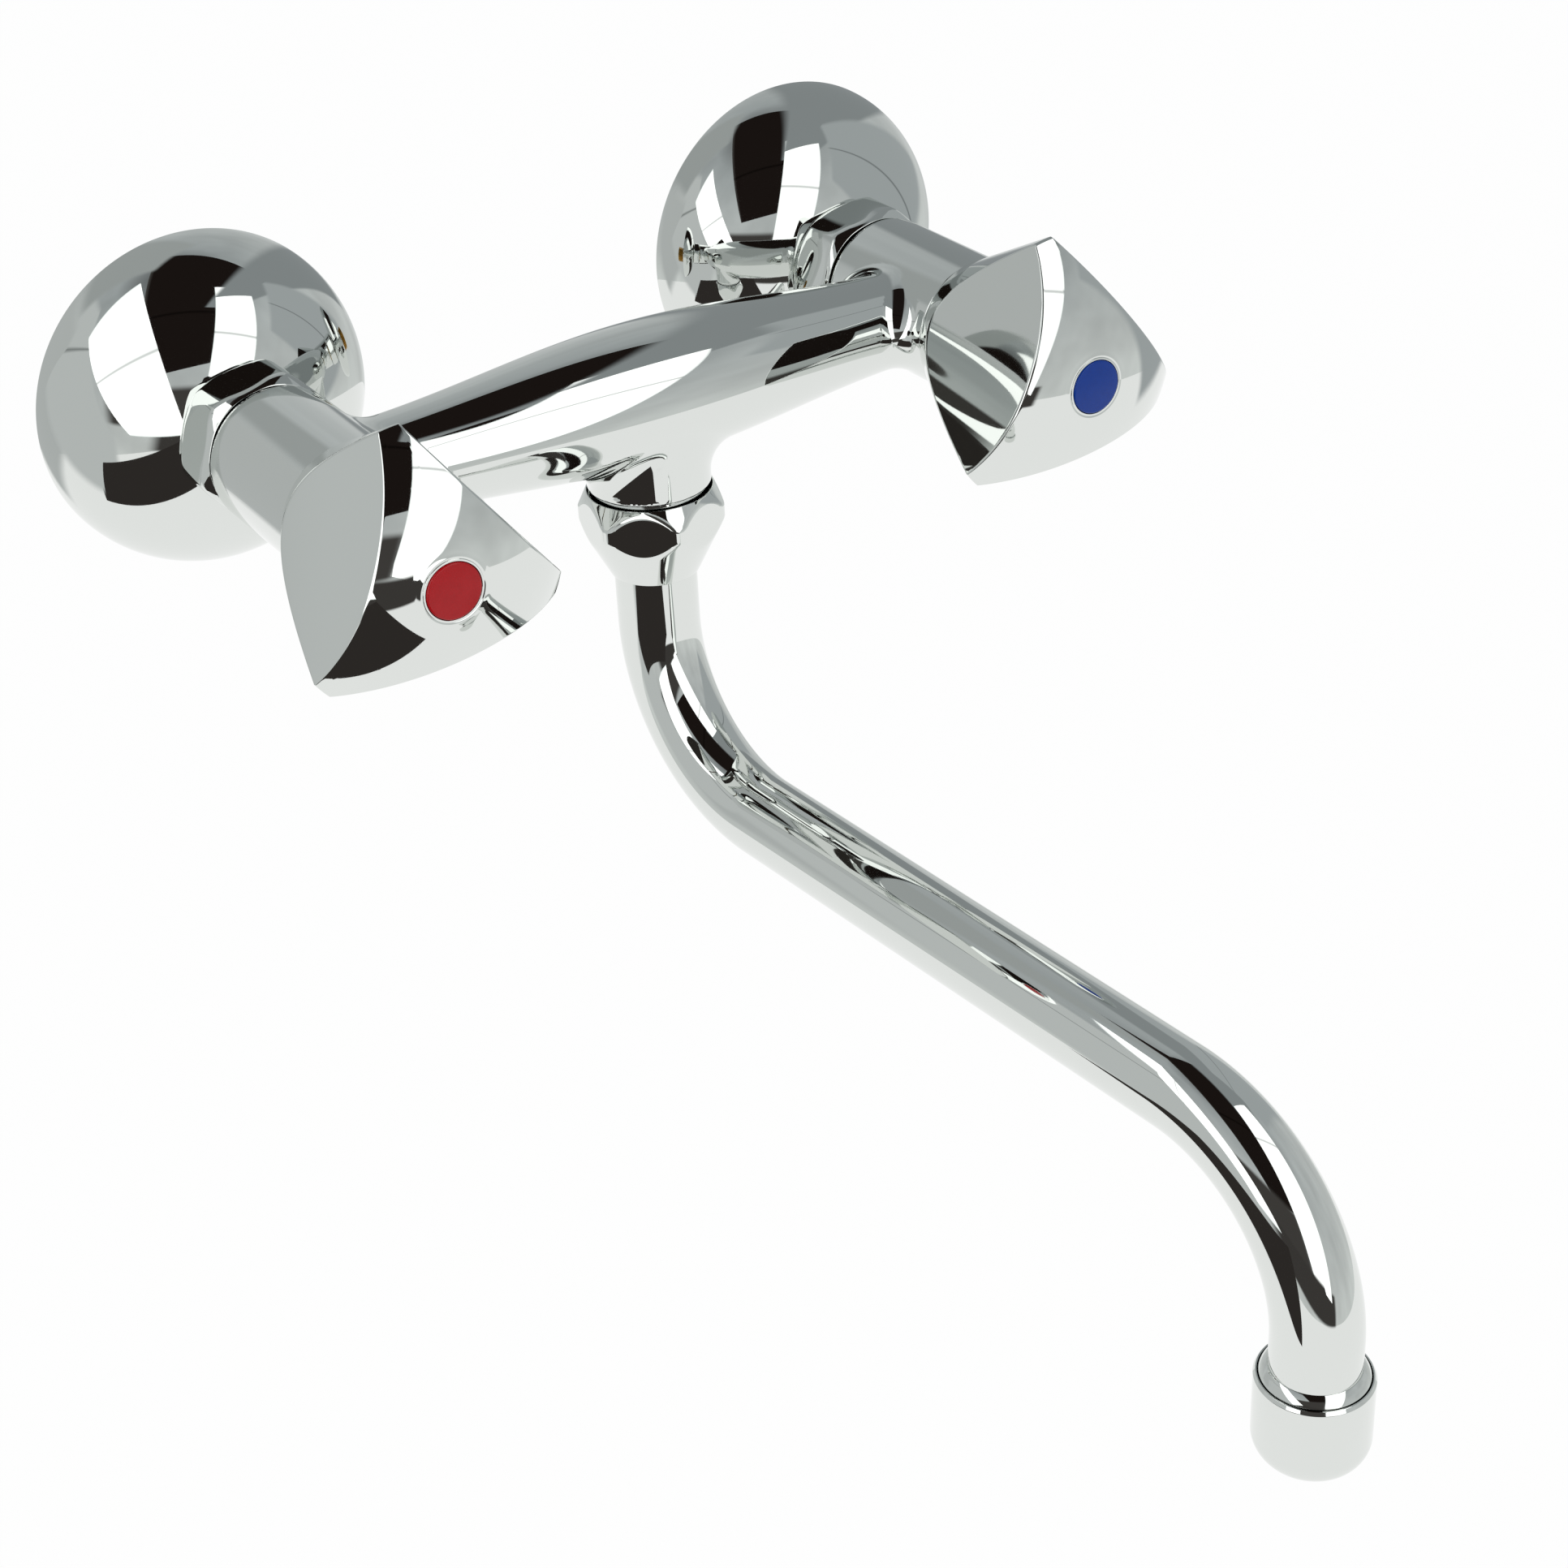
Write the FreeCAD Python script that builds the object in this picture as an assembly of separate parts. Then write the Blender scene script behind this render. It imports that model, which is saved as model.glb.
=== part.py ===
import FreeCAD, Part
import math
import os

# A wall mounted kitchen mixer tap with two handles and a swivel spout.
# The frame: x to the right, y into the wall, z up. The wall is y = 0, and the origin
# lies on it, midway between the two inlets. "Out" is a distance from the wall, along -y.
# Lengths are in millimetres, angles in degrees. Threads are plain at their major diameter.

Vector = FreeCAD.Vector

# Inlets and wall fixing
inlet_spacing = 150.0
wall_thread_radius = 10.4775
wall_thread_length = 16.0
wall_bore_radius = 6.5
union_thread_radius = 13.2205
union_bore_radius = 9.0
thread_clearance = 0.13
eccentric_offset = 6.0
eccentric_step_out = 7.0
eccentric_collar_radius = 12.6
union_thread_out = 33.0
thread_chamfer = 1.0

# Wall covers
rosette_radius = 36.4
rosette_depth = 26.4
rosette_wall = 1.0

# Union nuts on the inlets
inlet_nut_flats = 30.0
inlet_nut_corner_radius = 16.5
inlet_nut_length = 14.3
inlet_nut_chamfer = 1.9
inlet_nut_turn = 12.0
seat_gap = 0.3
gasket_thickness = 2.0
tail_flange_thickness = 2.0
tail_radius = 10.6
tail_bore_radius = 6.5
tail_spigot_radius = 9.0
tail_spigot_length = 8.0

# Mixer body
housing_radius = 15.0
housing_length = 35.7
housing_back_round = 2.2
housing_front_round = 0.8
arm_from_housing_back = 19.0
arm_middle_radius = 15.0
arm_quarter_radius = 13.0
arm_quarter_x = 31.0
arm_shoulder_radius = 11.1
arm_shoulder_x = 50.0
arm_end_radius = 10.2
arm_fillet = 6.0
arm_bore_radius = 6.0
boss_radius = 13.4
boss_fillet = 7.0
boss_bottom = -29.0
boss_socket_radius = 10.9
boss_socket_top = -10.0
valve_seat_radius = 5.5
valve_seat_lip_width = 1.4
valve_seat_lip_height = 0.8
valve_seat_thickness = 3.0
valve_chamber_radius = 9.7
headwork_thread_radius = 10.4775
headwork_thread_length = 10.3
headwork_thread_fit = 0.07

# Headwork: the bonnet that holds the spindle and guides the plunger
headwork_nose_length = 3.8
headwork_nose_radius = 9.2
headwork_gasket_thickness = 1.0
headwork_gasket_radius = 13.1
headwork_flange_radius = 13.3
headwork_flange_thickness = 2.0
headwork_flats = 17.0
headwork_hex_length = 5.8
headwork_neck_radius = 6.4
headwork_neck_length = 7.0
guide_flats = 12.1
guide_shoulder = 0.3
spindle_bore_radius = 4.05

# Plunger and its washer. The plunger rises by the lead for each turn of the handle.
lead_per_turn = 2.0
handle_turns = 2.0
plunger_flats = 12.0
plunger_disc_radius = 7.6
plunger_disc_thickness = 1.6
plunger_shank_length = 13.3
plunger_bottom_wall = 2.6
washer_radius = 7.3
washer_thickness = 2.6
washer_screw_radius = 1.95
washer_screw_head_radius = 3.2
washer_screw_head_length = 1.6
washer_screw_length = 2.6

# Spindle
spindle_radius = 4.0
lead_thread_radius = 3.4
lead_thread_clearance = 0.1
lead_tip_gap = 0.6
spindle_collar_radius = 5.75
spindle_collar_length = 3.0
o_ring_section_radius = 0.56
o_ring_groove_radius = 2.9
o_ring_groove_width = 1.5
o_ring_from_neck_end = 5.0
clip_thickness = 0.8
clip_radius = 5.4
clip_groove_radius = 3.2
clip_gap_width = 3.6
spindle_flats = 6.4
spindle_drive_length = 13.0

# Handles: a turned knob with three flat facets. The turns are those of the closed handles.
left_knob_turn = 7.5
right_knob_turn = 8.75
knob_corner_radius = 30.1
knob_length = 40.6
knob_front_height = 11.9
knob_facet_distance = 16.8
knob_facet_tilt = 4.4
knob_back_gap = 0.7
knob_back_radius = 15.9
knob_lip_width = 0.6
knob_lip_height = 0.5
knob_flare_width = 1.9
knob_dome_rise = 2.2
knob_rim_round = 0.5
knob_facet_round = 0.35
knob_side_wall = 2.4
knob_front_wall = 3.6
knob_hub_radius = 7.0
knob_hub_gap = 0.9
drive_clearance = 0.02
screw_web = 4.2
screw_radius = 1.95
screw_length = 8.0
screw_hole_clearance = 0.1
screw_head_radius = 3.6
screw_head_length = 2.4
screw_slot_width = 1.0
screw_slot_depth = 1.1
screw_well_radius = 4.3
disc_radius = 5.75
disc_clearance = 0.12
disc_seat_depth = 1.6
disc_proud = 0.38
disc_edge_round = 0.35
disc_peg_length = 1.2
disc_peg_clearance = 0.05
disc_peg_wall = 0.7

# Outlet nut
outlet_nut_flats = 28.4
outlet_nut_turn = 22.0
outlet_nut_top = -21.5
outlet_nut_rim_radius = 13.78
outlet_nut_corner_radius = 15.9
outlet_nut_shoulder_top = -26.0
outlet_nut_shoulder_bottom = -29.0
outlet_nut_bottom = -40.9
outlet_nut_bottom_radius = 9.75
outlet_nut_shoulder_round = 4.0
outlet_nut_inner_radius = 12.0
outlet_nut_seat = -33.5

# Spout
spout_tube_radius = 9.0
spout_tube_wall = 1.2
spout_rest_turn = 5.95
spout_reach = 196.4
spout_run_slope = 1.98
spout_drop_bottom = -53.1
first_bend_radius = 36.3
second_bend_radius = 38.5
spout_tube_clearance = 0.25
collar_top = -12.0
collar_radius = 10.75
collar_flange_radius = 11.7
collar_flange_thickness = 2.0
collar_gap = 0.3
collar_groove_radius = 9.75
collar_groove_width = 1.6
collar_groove_places = (-16.0, -23.0)
spout_ring_section_radius = 0.56
slide_ring_thickness = 2.1
slide_ring_clearance = 0.15

# Aerator
aerator_top = -140.2
aerator_height = 20.7
aerator_radius = 11.65
aerator_top_bevel = 0.75
aerator_bottom_round = 6.4
aerator_mouth_radius = 8.0
aerator_thread_radius = 10.7
aerator_thread_clearance = 0.2
aerator_bore_depth = 11.6
aerator_seat_radius = 10.3
aerator_seat_depth = 2.0
end_sleeve_rise = 2.1
end_sleeve_length = 9.7
aerator_gasket_thickness = 1.7
aerator_gasket_radius = 10.6
aerator_gasket_bore_radius = 7.2
insert_clearance = 0.1
insert_nozzle_length = 5.6
insert_jet_radius = 0.75
insert_jet_spacing = 2.35
insert_jet_rings = 2

# Worked out from the values above
inlet_x = inlet_spacing / 2
rosette_hole_radius = union_thread_radius + thread_clearance
rosette_hole_ratio = rosette_hole_radius / rosette_radius
rosette_front_out = rosette_depth * math.sqrt(1 - rosette_hole_ratio ** 2)
nut_back_out = rosette_front_out + seat_gap
nut_front_out = nut_back_out + inlet_nut_length
tail_flange_out = union_thread_out + gasket_thickness
nut_lip_out = tail_flange_out + tail_flange_thickness + seat_gap
housing_back_out = nut_front_out + 0.4
housing_front_out = housing_back_out + housing_length
arm_out = housing_back_out + arm_from_housing_back
seat_lip_out = arm_out - arm_bore_radius - 0.6
seat_floor_out = seat_lip_out - valve_seat_lip_height
seat_back_out = seat_floor_out - valve_seat_thickness
chamber_front_out = housing_front_out - headwork_thread_length

flange_out = housing_front_out + headwork_gasket_thickness
hex_out = flange_out + headwork_flange_thickness
neck_out = hex_out + headwork_hex_length
neck_end_out = neck_out + headwork_neck_length
nose_out = chamber_front_out - headwork_nose_length
shoulder_out = hex_out + guide_shoulder

plunger_travel = lead_per_turn * handle_turns
washer_front_out = seat_lip_out + washer_thickness
shank_out = washer_front_out + plunger_disc_thickness
shank_end_out = shank_out + plunger_shank_length
plunger_bore_out = shank_out + plunger_bottom_wall
lead_tip_out = plunger_bore_out + plunger_travel + lead_tip_gap
collar_end_out = shoulder_out - seat_gap
collar_start_out = collar_end_out - spindle_collar_length

clip_out = neck_end_out + seat_gap
hub_out = clip_out + clip_thickness + knob_hub_gap
spindle_end_out = hub_out + spindle_drive_length
web_out = spindle_end_out + seat_gap
head_out = web_out + screw_web
knob_back_out = housing_front_out + knob_back_gap
knob_face_out = knob_back_out + knob_length
knob_corner_out = knob_face_out - knob_front_height
knob_lip_radius = disc_radius + disc_clearance + knob_lip_width
knob_flare_radius = knob_lip_radius + knob_flare_width
knob_flare_out = knob_face_out - knob_lip_height
knob_cavity_radius = knob_facet_distance - knob_side_wall
cavity_share = (knob_cavity_radius - knob_flare_radius) / (knob_corner_radius - knob_flare_radius)
knob_cavity_out = knob_flare_out - cavity_share * (knob_flare_out - knob_corner_out) - knob_front_wall
disc_seat_out = knob_face_out - disc_seat_depth

flange_top = boss_bottom - collar_gap
flange_bottom = flange_top - collar_flange_thickness
bend_turn = 90.0 - spout_run_slope
slope = math.radians(spout_run_slope)
bend_sweep = 1 - math.sin(slope)
run_length = (spout_reach - (first_bend_radius + second_bend_radius) * bend_sweep) / math.cos(slope)
bends_drop = (first_bend_radius + second_bend_radius) * math.cos(slope)
second_bend_bottom = spout_drop_bottom - bends_drop - run_length * math.sin(slope)
aerator_bottom = aerator_top - aerator_height
tube_end = aerator_top - end_sleeve_length


def corner_points(before, corner, after, radius):
    """Start, middle and end of the arc that rounds a corner of an outline."""
    to_before = (before - corner).normalize()
    to_after = (after - corner).normalize()
    half_angle = to_before.getAngle(to_after) / 2
    inward = (to_before + to_after).normalize()
    reach = radius / math.tan(half_angle)
    centre = corner + inward * (radius / math.sin(half_angle))
    return corner + to_before * reach, centre - inward * radius, corner + to_after * reach


def outline(points):
    """A closed outline through (radius, height) points. A third number rounds that corner."""
    places = [Vector(point[0], 0, point[1]) for point in points]
    edges = []
    starts = []
    ends = []
    for index, point in enumerate(points):
        corner = places[index]
        if len(point) == 3:
            before = places[index - 1]
            after = places[(index + 1) % len(points)]
            first, middle, last = corner_points(before, corner, after, point[2])
            edges.append(Part.Arc(first, middle, last).toShape())
        else:
            first = last = corner
        starts.append(first)
        ends.append(last)
    for index in range(len(points)):
        start = ends[index]
        end = starts[(index + 1) % len(points)]
        if start.distanceToPoint(end) > 1e-7:
            edges.append(Part.LineSegment(start, end).toShape())
    return Part.Wire(Part.__sortEdges__(edges))


def turned(points):
    """A solid turned about z from an outline of (radius, height) points."""
    return Part.Face(outline(points)).revolve(Vector(0, 0, 0), Vector(0, 0, 1), 360)


def cylinder(radius, bottom, top):
    return Part.makeCylinder(radius, top - bottom, Vector(0, 0, bottom))


def tube(outer_radius, inner_radius, bottom, top):
    return cylinder(outer_radius, bottom, top).cut(cylinder(inner_radius, bottom, top))


def hexagon(flats, bottom, top, turn=0.0):
    """An upright six-sided prism with a corner at the given turn from x."""
    radius = flats / math.sqrt(3)
    corners = []
    for side in range(7):
        angle = math.radians(turn + 60 * side)
        corners.append(Vector(radius * math.cos(angle), radius * math.sin(angle), bottom))
    face = Part.Face(Part.makePolygon(corners))
    return face.extrude(Vector(0, 0, top - bottom))


def ring(section_radius, ring_radius, height):
    return Part.makeTorus(ring_radius, section_radius, Vector(0, 0, height))


def flats_cutter(flats, radius, bottom, top):
    """Two blocks that leave a round bar with two flats."""
    size = 2 * radius
    cutters = []
    for side in (-1, 1):
        corner = Vector(-size / 2, flats / 2 if side > 0 else -flats / 2 - size, bottom)
        cutters.append(Part.makeBox(size, size, top - bottom, corner))
    return cutters[0].fuse(cutters[1])


def on_valve(shape, x):
    """Lays a shape made about z along the valve axis at x: its height becomes out."""
    placed = shape.copy()
    turn = FreeCAD.Rotation(Vector(1, 0, 0), 90)
    placed.Placement = FreeCAD.Placement(Vector(x, 0, 0), turn).multiply(placed.Placement)
    return placed


def turned_by(shape, angle):
    placed = shape.copy()
    placed.rotate(Vector(0, 0, 0), Vector(0, 0, 1), angle)
    return placed


def on_outlet(shape):
    """Moves a shape made about z to the outlet's upright axis."""
    placed = shape.copy()
    placed.translate(Vector(0, -arm_out, 0))
    return placed


def on_spout(shape):
    """Turns a shape made about the outlet axis with the spout at rest, then moves it there."""
    placed = shape.copy()
    placed.rotate(Vector(0, 0, 0), Vector(0, 0, 1), spout_rest_turn)
    return on_outlet(placed)


def on_aerator(shape):
    """Moves a shape made about z to the lower end of the spout at rest."""
    placed = shape.copy()
    placed.translate(Vector(0, -spout_reach, 0))
    return on_spout(placed)


def rosette():
    """A deep dome: half of an ellipsoid shell, open at the wall, with a hole at its top."""
    outer = half_ellipsoid(rosette_radius, rosette_depth)
    inner = half_ellipsoid(rosette_radius - rosette_wall, rosette_depth - rosette_wall)
    hole = cylinder(rosette_hole_radius, 0, rosette_depth)
    cap = tube(rosette_radius, rosette_hole_radius - 0.5, rosette_front_out, rosette_depth + 1)
    return outer.cut(inner).cut(hole).cut(cap)


def half_ellipsoid(radius, depth):
    wide = max(radius, depth)
    narrow = min(radius, depth)
    ellipse = Part.Ellipse(Vector(0, 0, 0), wide, narrow)
    ellipse.Axis = Vector(0, -1, 0)
    ellipse.XAxis = Vector(1, 0, 0) if radius >= depth else Vector(0, 0, 1)
    low = ellipse.parameter(Vector(radius, 0, 0))
    high = ellipse.parameter(Vector(0, 0, depth))
    if high < low:
        high += 2 * math.pi
    arc = Part.ArcOfEllipse(ellipse, low, high).toShape()
    wall = Part.LineSegment(Vector(0, 0, depth), Vector(0, 0, 0)).toShape()
    base = Part.LineSegment(Vector(0, 0, 0), Vector(radius, 0, 0)).toShape()
    face = Part.Face(Part.Wire(Part.__sortEdges__([arc, wall, base])))
    return face.revolve(Vector(0, 0, 0), Vector(0, 0, 1), 360)


def eccentric():
    """The connector between the wall and the union nut: two threads on offset axes."""
    lower = Vector(0, -eccentric_offset, 0)
    wall_end = turned([
        (0, -wall_thread_length - thread_chamfer),
        (wall_thread_radius - thread_chamfer, -wall_thread_length - thread_chamfer),
        (wall_thread_radius, -wall_thread_length),
        (wall_thread_radius, 0.8),
        (eccentric_collar_radius, 0.8),
        (eccentric_collar_radius, eccentric_step_out),
        (0, eccentric_step_out),
    ])
    union_end = turned([
        (0, eccentric_step_out - 4),
        (union_thread_radius, eccentric_step_out - 4),
        (union_thread_radius, union_thread_out - thread_chamfer),
        (union_thread_radius - thread_chamfer, union_thread_out),
        (0, union_thread_out),
    ])
    wall_end.translate(lower)
    wall_bore = cylinder(wall_bore_radius, -wall_thread_length - 2, eccentric_step_out)
    wall_bore.translate(lower)
    union_bore = cylinder(union_bore_radius, eccentric_step_out - 1.5, union_thread_out + 1)
    return wall_end.fuse(union_end).cut(wall_bore).cut(union_bore).removeSplitter()


def inlet_gasket():
    return tube(union_thread_radius - 0.3, union_bore_radius, union_thread_out, tail_flange_out)


def tailpiece():
    """A sleeve screwed into the housing, with the flange that the union nut pulls."""
    return turned([
        (tail_bore_radius, tail_flange_out),
        (union_thread_radius - 0.2, tail_flange_out),
        (union_thread_radius - 0.2, tail_flange_out + tail_flange_thickness),
        (tail_radius, tail_flange_out + tail_flange_thickness),
        (tail_radius, housing_back_out),
        (tail_spigot_radius, housing_back_out),
        (tail_spigot_radius, housing_back_out + tail_spigot_length),
        (tail_bore_radius, housing_back_out + tail_spigot_length),
    ])


def inlet_nut():
    """A union nut: a turned ring with bevelled ends, cut to six flats."""
    bevel_radius = inlet_nut_corner_radius - inlet_nut_chamfer
    blank = turned([
        (0, nut_back_out),
        (bevel_radius, nut_back_out, 0.4),
        (inlet_nut_corner_radius, nut_back_out + inlet_nut_chamfer, 2.0),
        (inlet_nut_corner_radius, nut_front_out - inlet_nut_chamfer, 2.0),
        (bevel_radius, nut_front_out, 0.4),
        (0, nut_front_out),
    ])
    flats = hexagon(inlet_nut_flats, nut_back_out - 1, nut_front_out + 1, inlet_nut_turn)
    thread = cylinder(union_thread_radius + thread_clearance, nut_back_out - 1, nut_lip_out)
    lip = cylinder(tail_radius + seat_gap, nut_back_out, nut_front_out + 1)
    return blank.common(flats).cut(thread).cut(lip)


def arm_blank():
    """The cross arm: a spindle turned about x, thick in the middle."""
    half = [
        (arm_middle_radius, 0.0),
        (arm_quarter_radius, arm_quarter_x),
        (arm_shoulder_radius, arm_shoulder_x),
        (arm_end_radius, inlet_x),
    ]
    places = [Vector(radius, 0, -x) for radius, x in reversed(half)]
    places += [Vector(radius, 0, x) for radius, x in half[1:]]
    curve = Part.BSplineCurve()
    curve.interpolate(places)
    ends = [Vector(0, 0, -inlet_x), Vector(0, 0, inlet_x)]
    edges = [
        curve.toShape(),
        Part.LineSegment(places[-1], ends[1]).toShape(),
        Part.LineSegment(ends[1], ends[0]).toShape(),
        Part.LineSegment(ends[0], places[0]).toShape(),
    ]
    face = Part.Face(Part.Wire(edges))
    spindle = face.revolve(Vector(0, 0, 0), Vector(0, 0, 1), 360)
    spindle.rotate(Vector(0, 0, 0), Vector(0, 1, 0), 90)
    spindle.translate(Vector(0, -arm_out, 0))
    return spindle


def housing_blank(x):
    return on_valve(turned([
        (0, housing_back_out),
        (housing_radius, housing_back_out, housing_back_round),
        (housing_radius, housing_front_out, housing_front_round),
        (0, housing_front_out),
    ]), x)


def lies_on_cylinder(edge, centre, axis, radius):
    """True if every sampled point of the edge is that far from the axis."""
    for step in range(5):
        first, last = edge.ParameterRange
        place = edge.valueAt(first + (last - first) * step / 4)
        offset = place - centre
        across = offset - axis * offset.dot(axis)
        if abs(across.Length - radius) > 0.01:
            return False
    return True


def arm_distance(edge):
    """How far the middle of an edge is from the cross arm's axis."""
    first, last = edge.ParameterRange
    place = edge.valueAt((first + last) / 2)
    return math.hypot(place.y + arm_out, place.z)


def mixer_body():
    """One casting: two valve housings, the cross arm and the outlet boss, with its passages."""
    body = arm_blank()
    for x in (-inlet_x, inlet_x):
        body = body.fuse(housing_blank(x))
    joins = []
    for edge in body.Edges:
        for x in (-inlet_x, inlet_x):
            on_housing = lies_on_cylinder(edge, Vector(x, 0, 0), Vector(0, 1, 0), housing_radius)
            if on_housing and arm_distance(edge) < housing_radius - 1:
                joins.append(edge)
    body = body.makeFillet(arm_fillet, joins)
    body = body.fuse(on_outlet(cylinder(boss_radius, boss_bottom, 0)))
    outlet = Vector(0, -arm_out, 0)
    joins = []
    for edge in body.Edges:
        on_boss = lies_on_cylinder(edge, outlet, Vector(0, 0, 1), boss_radius)
        if on_boss and arm_distance(edge) < arm_middle_radius + 0.1:
            joins.append(edge)
    body = body.makeFillet(boss_fillet, joins)
    for x in (-inlet_x, inlet_x):
        body = body.cut(on_valve(housing_passages(), x))
    cross = cylinder(arm_bore_radius, -inlet_x, inlet_x)
    cross.rotate(Vector(0, 0, 0), Vector(0, 1, 0), 90)
    cross = on_outlet(cross)
    socket = cylinder(boss_socket_radius, boss_bottom - 1, boss_socket_top)
    down = cylinder(arm_bore_radius, boss_socket_top - 1, 0)
    return body.cut(cross).cut(on_outlet(socket.fuse(down)))


def housing_passages():
    """The bores of one valve housing, with the raised lip that the washer closes on."""
    thread = headwork_thread_radius + headwork_thread_fit
    lip_radius = valve_seat_radius + valve_seat_lip_width
    return turned([
        (0, housing_back_out - 1),
        (tail_spigot_radius + 0.05, housing_back_out - 1),
        (tail_spigot_radius + 0.05, seat_back_out),
        (valve_seat_radius, seat_back_out),
        (valve_seat_radius, seat_lip_out),
        (lip_radius, seat_lip_out),
        (lip_radius, seat_floor_out),
        (valve_chamber_radius, seat_floor_out),
        (valve_chamber_radius, chamber_front_out),
        (thread, chamber_front_out),
        (thread, housing_front_out + 1),
        (0, housing_front_out + 1),
    ])


def headwork_gasket():
    thread = headwork_thread_radius + headwork_thread_fit
    return tube(headwork_gasket_radius, thread, housing_front_out, flange_out)


def headwork():
    """The bonnet: nose, thread, flange, hexagon and neck, with a six-sided guide inside."""
    blank = turned([
        (0, nose_out),
        (headwork_nose_radius, nose_out),
        (headwork_nose_radius, chamber_front_out),
        (headwork_thread_radius, chamber_front_out),
        (headwork_thread_radius, flange_out),
        (headwork_flange_radius, flange_out),
        (headwork_flange_radius, hex_out),
        (headwork_neck_radius, hex_out),
        (headwork_neck_radius, neck_end_out, 0.5),
        (0, neck_end_out),
    ])
    grip = hexagon(headwork_flats, hex_out, neck_out)
    guide = hexagon(guide_flats, nose_out - 1, shoulder_out)
    bore = cylinder(spindle_bore_radius, nose_out, neck_end_out + 1)
    return blank.fuse(grip).cut(guide).cut(bore)


def plunger():
    """A six-sided nut that slides in the guide and carries the washer on its disc."""
    disc = cylinder(plunger_disc_radius, washer_front_out, shank_out)
    shank = hexagon(plunger_flats, shank_out, shank_end_out)
    lead = cylinder(lead_thread_radius + lead_thread_clearance, plunger_bore_out, shank_end_out + 1)
    screw_end_out = washer_front_out + washer_screw_length
    hole = cylinder(washer_screw_radius, washer_front_out - 1, screw_end_out)
    return disc.fuse(shank).cut(lead).cut(hole)


def valve_washer():
    return tube(washer_radius, washer_screw_radius, seat_lip_out, washer_front_out)


def washer_screw():
    head_out_end = seat_lip_out - washer_screw_head_length
    head = cylinder(washer_screw_head_radius, head_out_end, seat_lip_out)
    shank = cylinder(washer_screw_radius, seat_lip_out, washer_front_out + washer_screw_length)
    slot = Part.makeBox(2 * washer_screw_head_radius, 0.9, 0.8)
    slot.translate(Vector(-washer_screw_head_radius, -0.45, head_out_end))
    return head.fuse(shank).cut(slot)


def spindle():
    """The lead thread, the collar that holds it in, the stem and the driven end."""
    groove_start = neck_end_out - o_ring_from_neck_end
    groove_end = groove_start + o_ring_groove_width
    bar = turned([
        (0, lead_tip_out),
        (lead_thread_radius, lead_tip_out),
        (lead_thread_radius, collar_start_out),
        (spindle_collar_radius, collar_start_out),
        (spindle_collar_radius, collar_end_out),
        (spindle_radius, collar_end_out),
        (spindle_radius, groove_start),
        (o_ring_groove_radius, groove_start),
        (o_ring_groove_radius, groove_end),
        (spindle_radius, groove_end),
        (spindle_radius, clip_out),
        (clip_groove_radius, clip_out),
        (clip_groove_radius, clip_out + clip_thickness),
        (spindle_radius, clip_out + clip_thickness),
        (spindle_radius, spindle_end_out),
        (0, spindle_end_out),
    ])
    drive = flats_cutter(spindle_flats, spindle_radius, hub_out, spindle_end_out + 1)
    screw_hole = cylinder(screw_radius, head_out - screw_length - 0.5, spindle_end_out + 1)
    return bar.cut(drive).cut(screw_hole)


def spindle_o_ring():
    middle = neck_end_out - o_ring_from_neck_end + o_ring_groove_width / 2
    return ring(o_ring_section_radius, o_ring_groove_radius + o_ring_section_radius, middle)


def spindle_clip():
    """An open ring that snaps into the stem's groove."""
    whole = tube(clip_radius, clip_groove_radius, clip_out, clip_out + clip_thickness)
    opening = Part.makeBox(clip_gap_width, clip_radius + 1, clip_thickness)
    opening.translate(Vector(-clip_gap_width / 2, 0, clip_out))
    return whole.cut(opening)


def bowed_arc(start, end, rise):
    """An arc in the xz plane from start to end, bowed away from the chord by rise."""
    chord = end - start
    across = Vector(-chord.z, 0, chord.x).normalize()
    return Part.Arc(start, (start + end) * 0.5 + across * rise, end).toShape()


def knob_blank():
    """The knob before its facets are cut: a cone behind, a dome with a raised lip in front."""
    rim = Vector(knob_corner_radius, 0, knob_corner_out)
    flare = Vector(knob_flare_radius, 0, knob_flare_out)
    lip = Vector(knob_lip_radius, 0, knob_face_out)
    back = Vector(knob_back_radius, 0, knob_back_out)
    edges = [
        bowed_arc(lip, flare, -knob_lip_height / 4),
        bowed_arc(flare, rim, knob_dome_rise),
        Part.LineSegment(rim, back).toShape(),
        Part.LineSegment(back, Vector(0, 0, knob_back_out)).toShape(),
        Part.LineSegment(Vector(0, 0, knob_back_out), Vector(0, 0, knob_face_out)).toShape(),
        Part.LineSegment(Vector(0, 0, knob_face_out), lip).toShape(),
    ]
    blank = Part.Face(Part.Wire(edges)).revolve(Vector(0, 0, 0), Vector(0, 0, 1), 360)
    rim_edges = []
    for edge in blank.Edges:
        if lies_on_cylinder(edge, Vector(0, 0, 0), Vector(0, 0, 1), knob_corner_radius):
            rim_edges.append(edge)
    return blank.makeFillet(knob_rim_round, rim_edges)


def knob_facet(side):
    """A block whose inner face is one facet's plane, leaning outwards to the back."""
    size = 4 * knob_corner_radius
    block = Part.makeBox(size, size, size, Vector(0, -size / 2, -size / 2))
    block.rotate(Vector(0, 0, 0), Vector(0, 1, 0), -knob_facet_tilt)
    shift = knob_facet_distance / math.cos(math.radians(knob_facet_tilt))
    block.translate(Vector(shift, 0, knob_corner_out))
    block.rotate(Vector(0, 0, 0), Vector(0, 0, 1), 150 + 120 * side)
    return block


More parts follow.
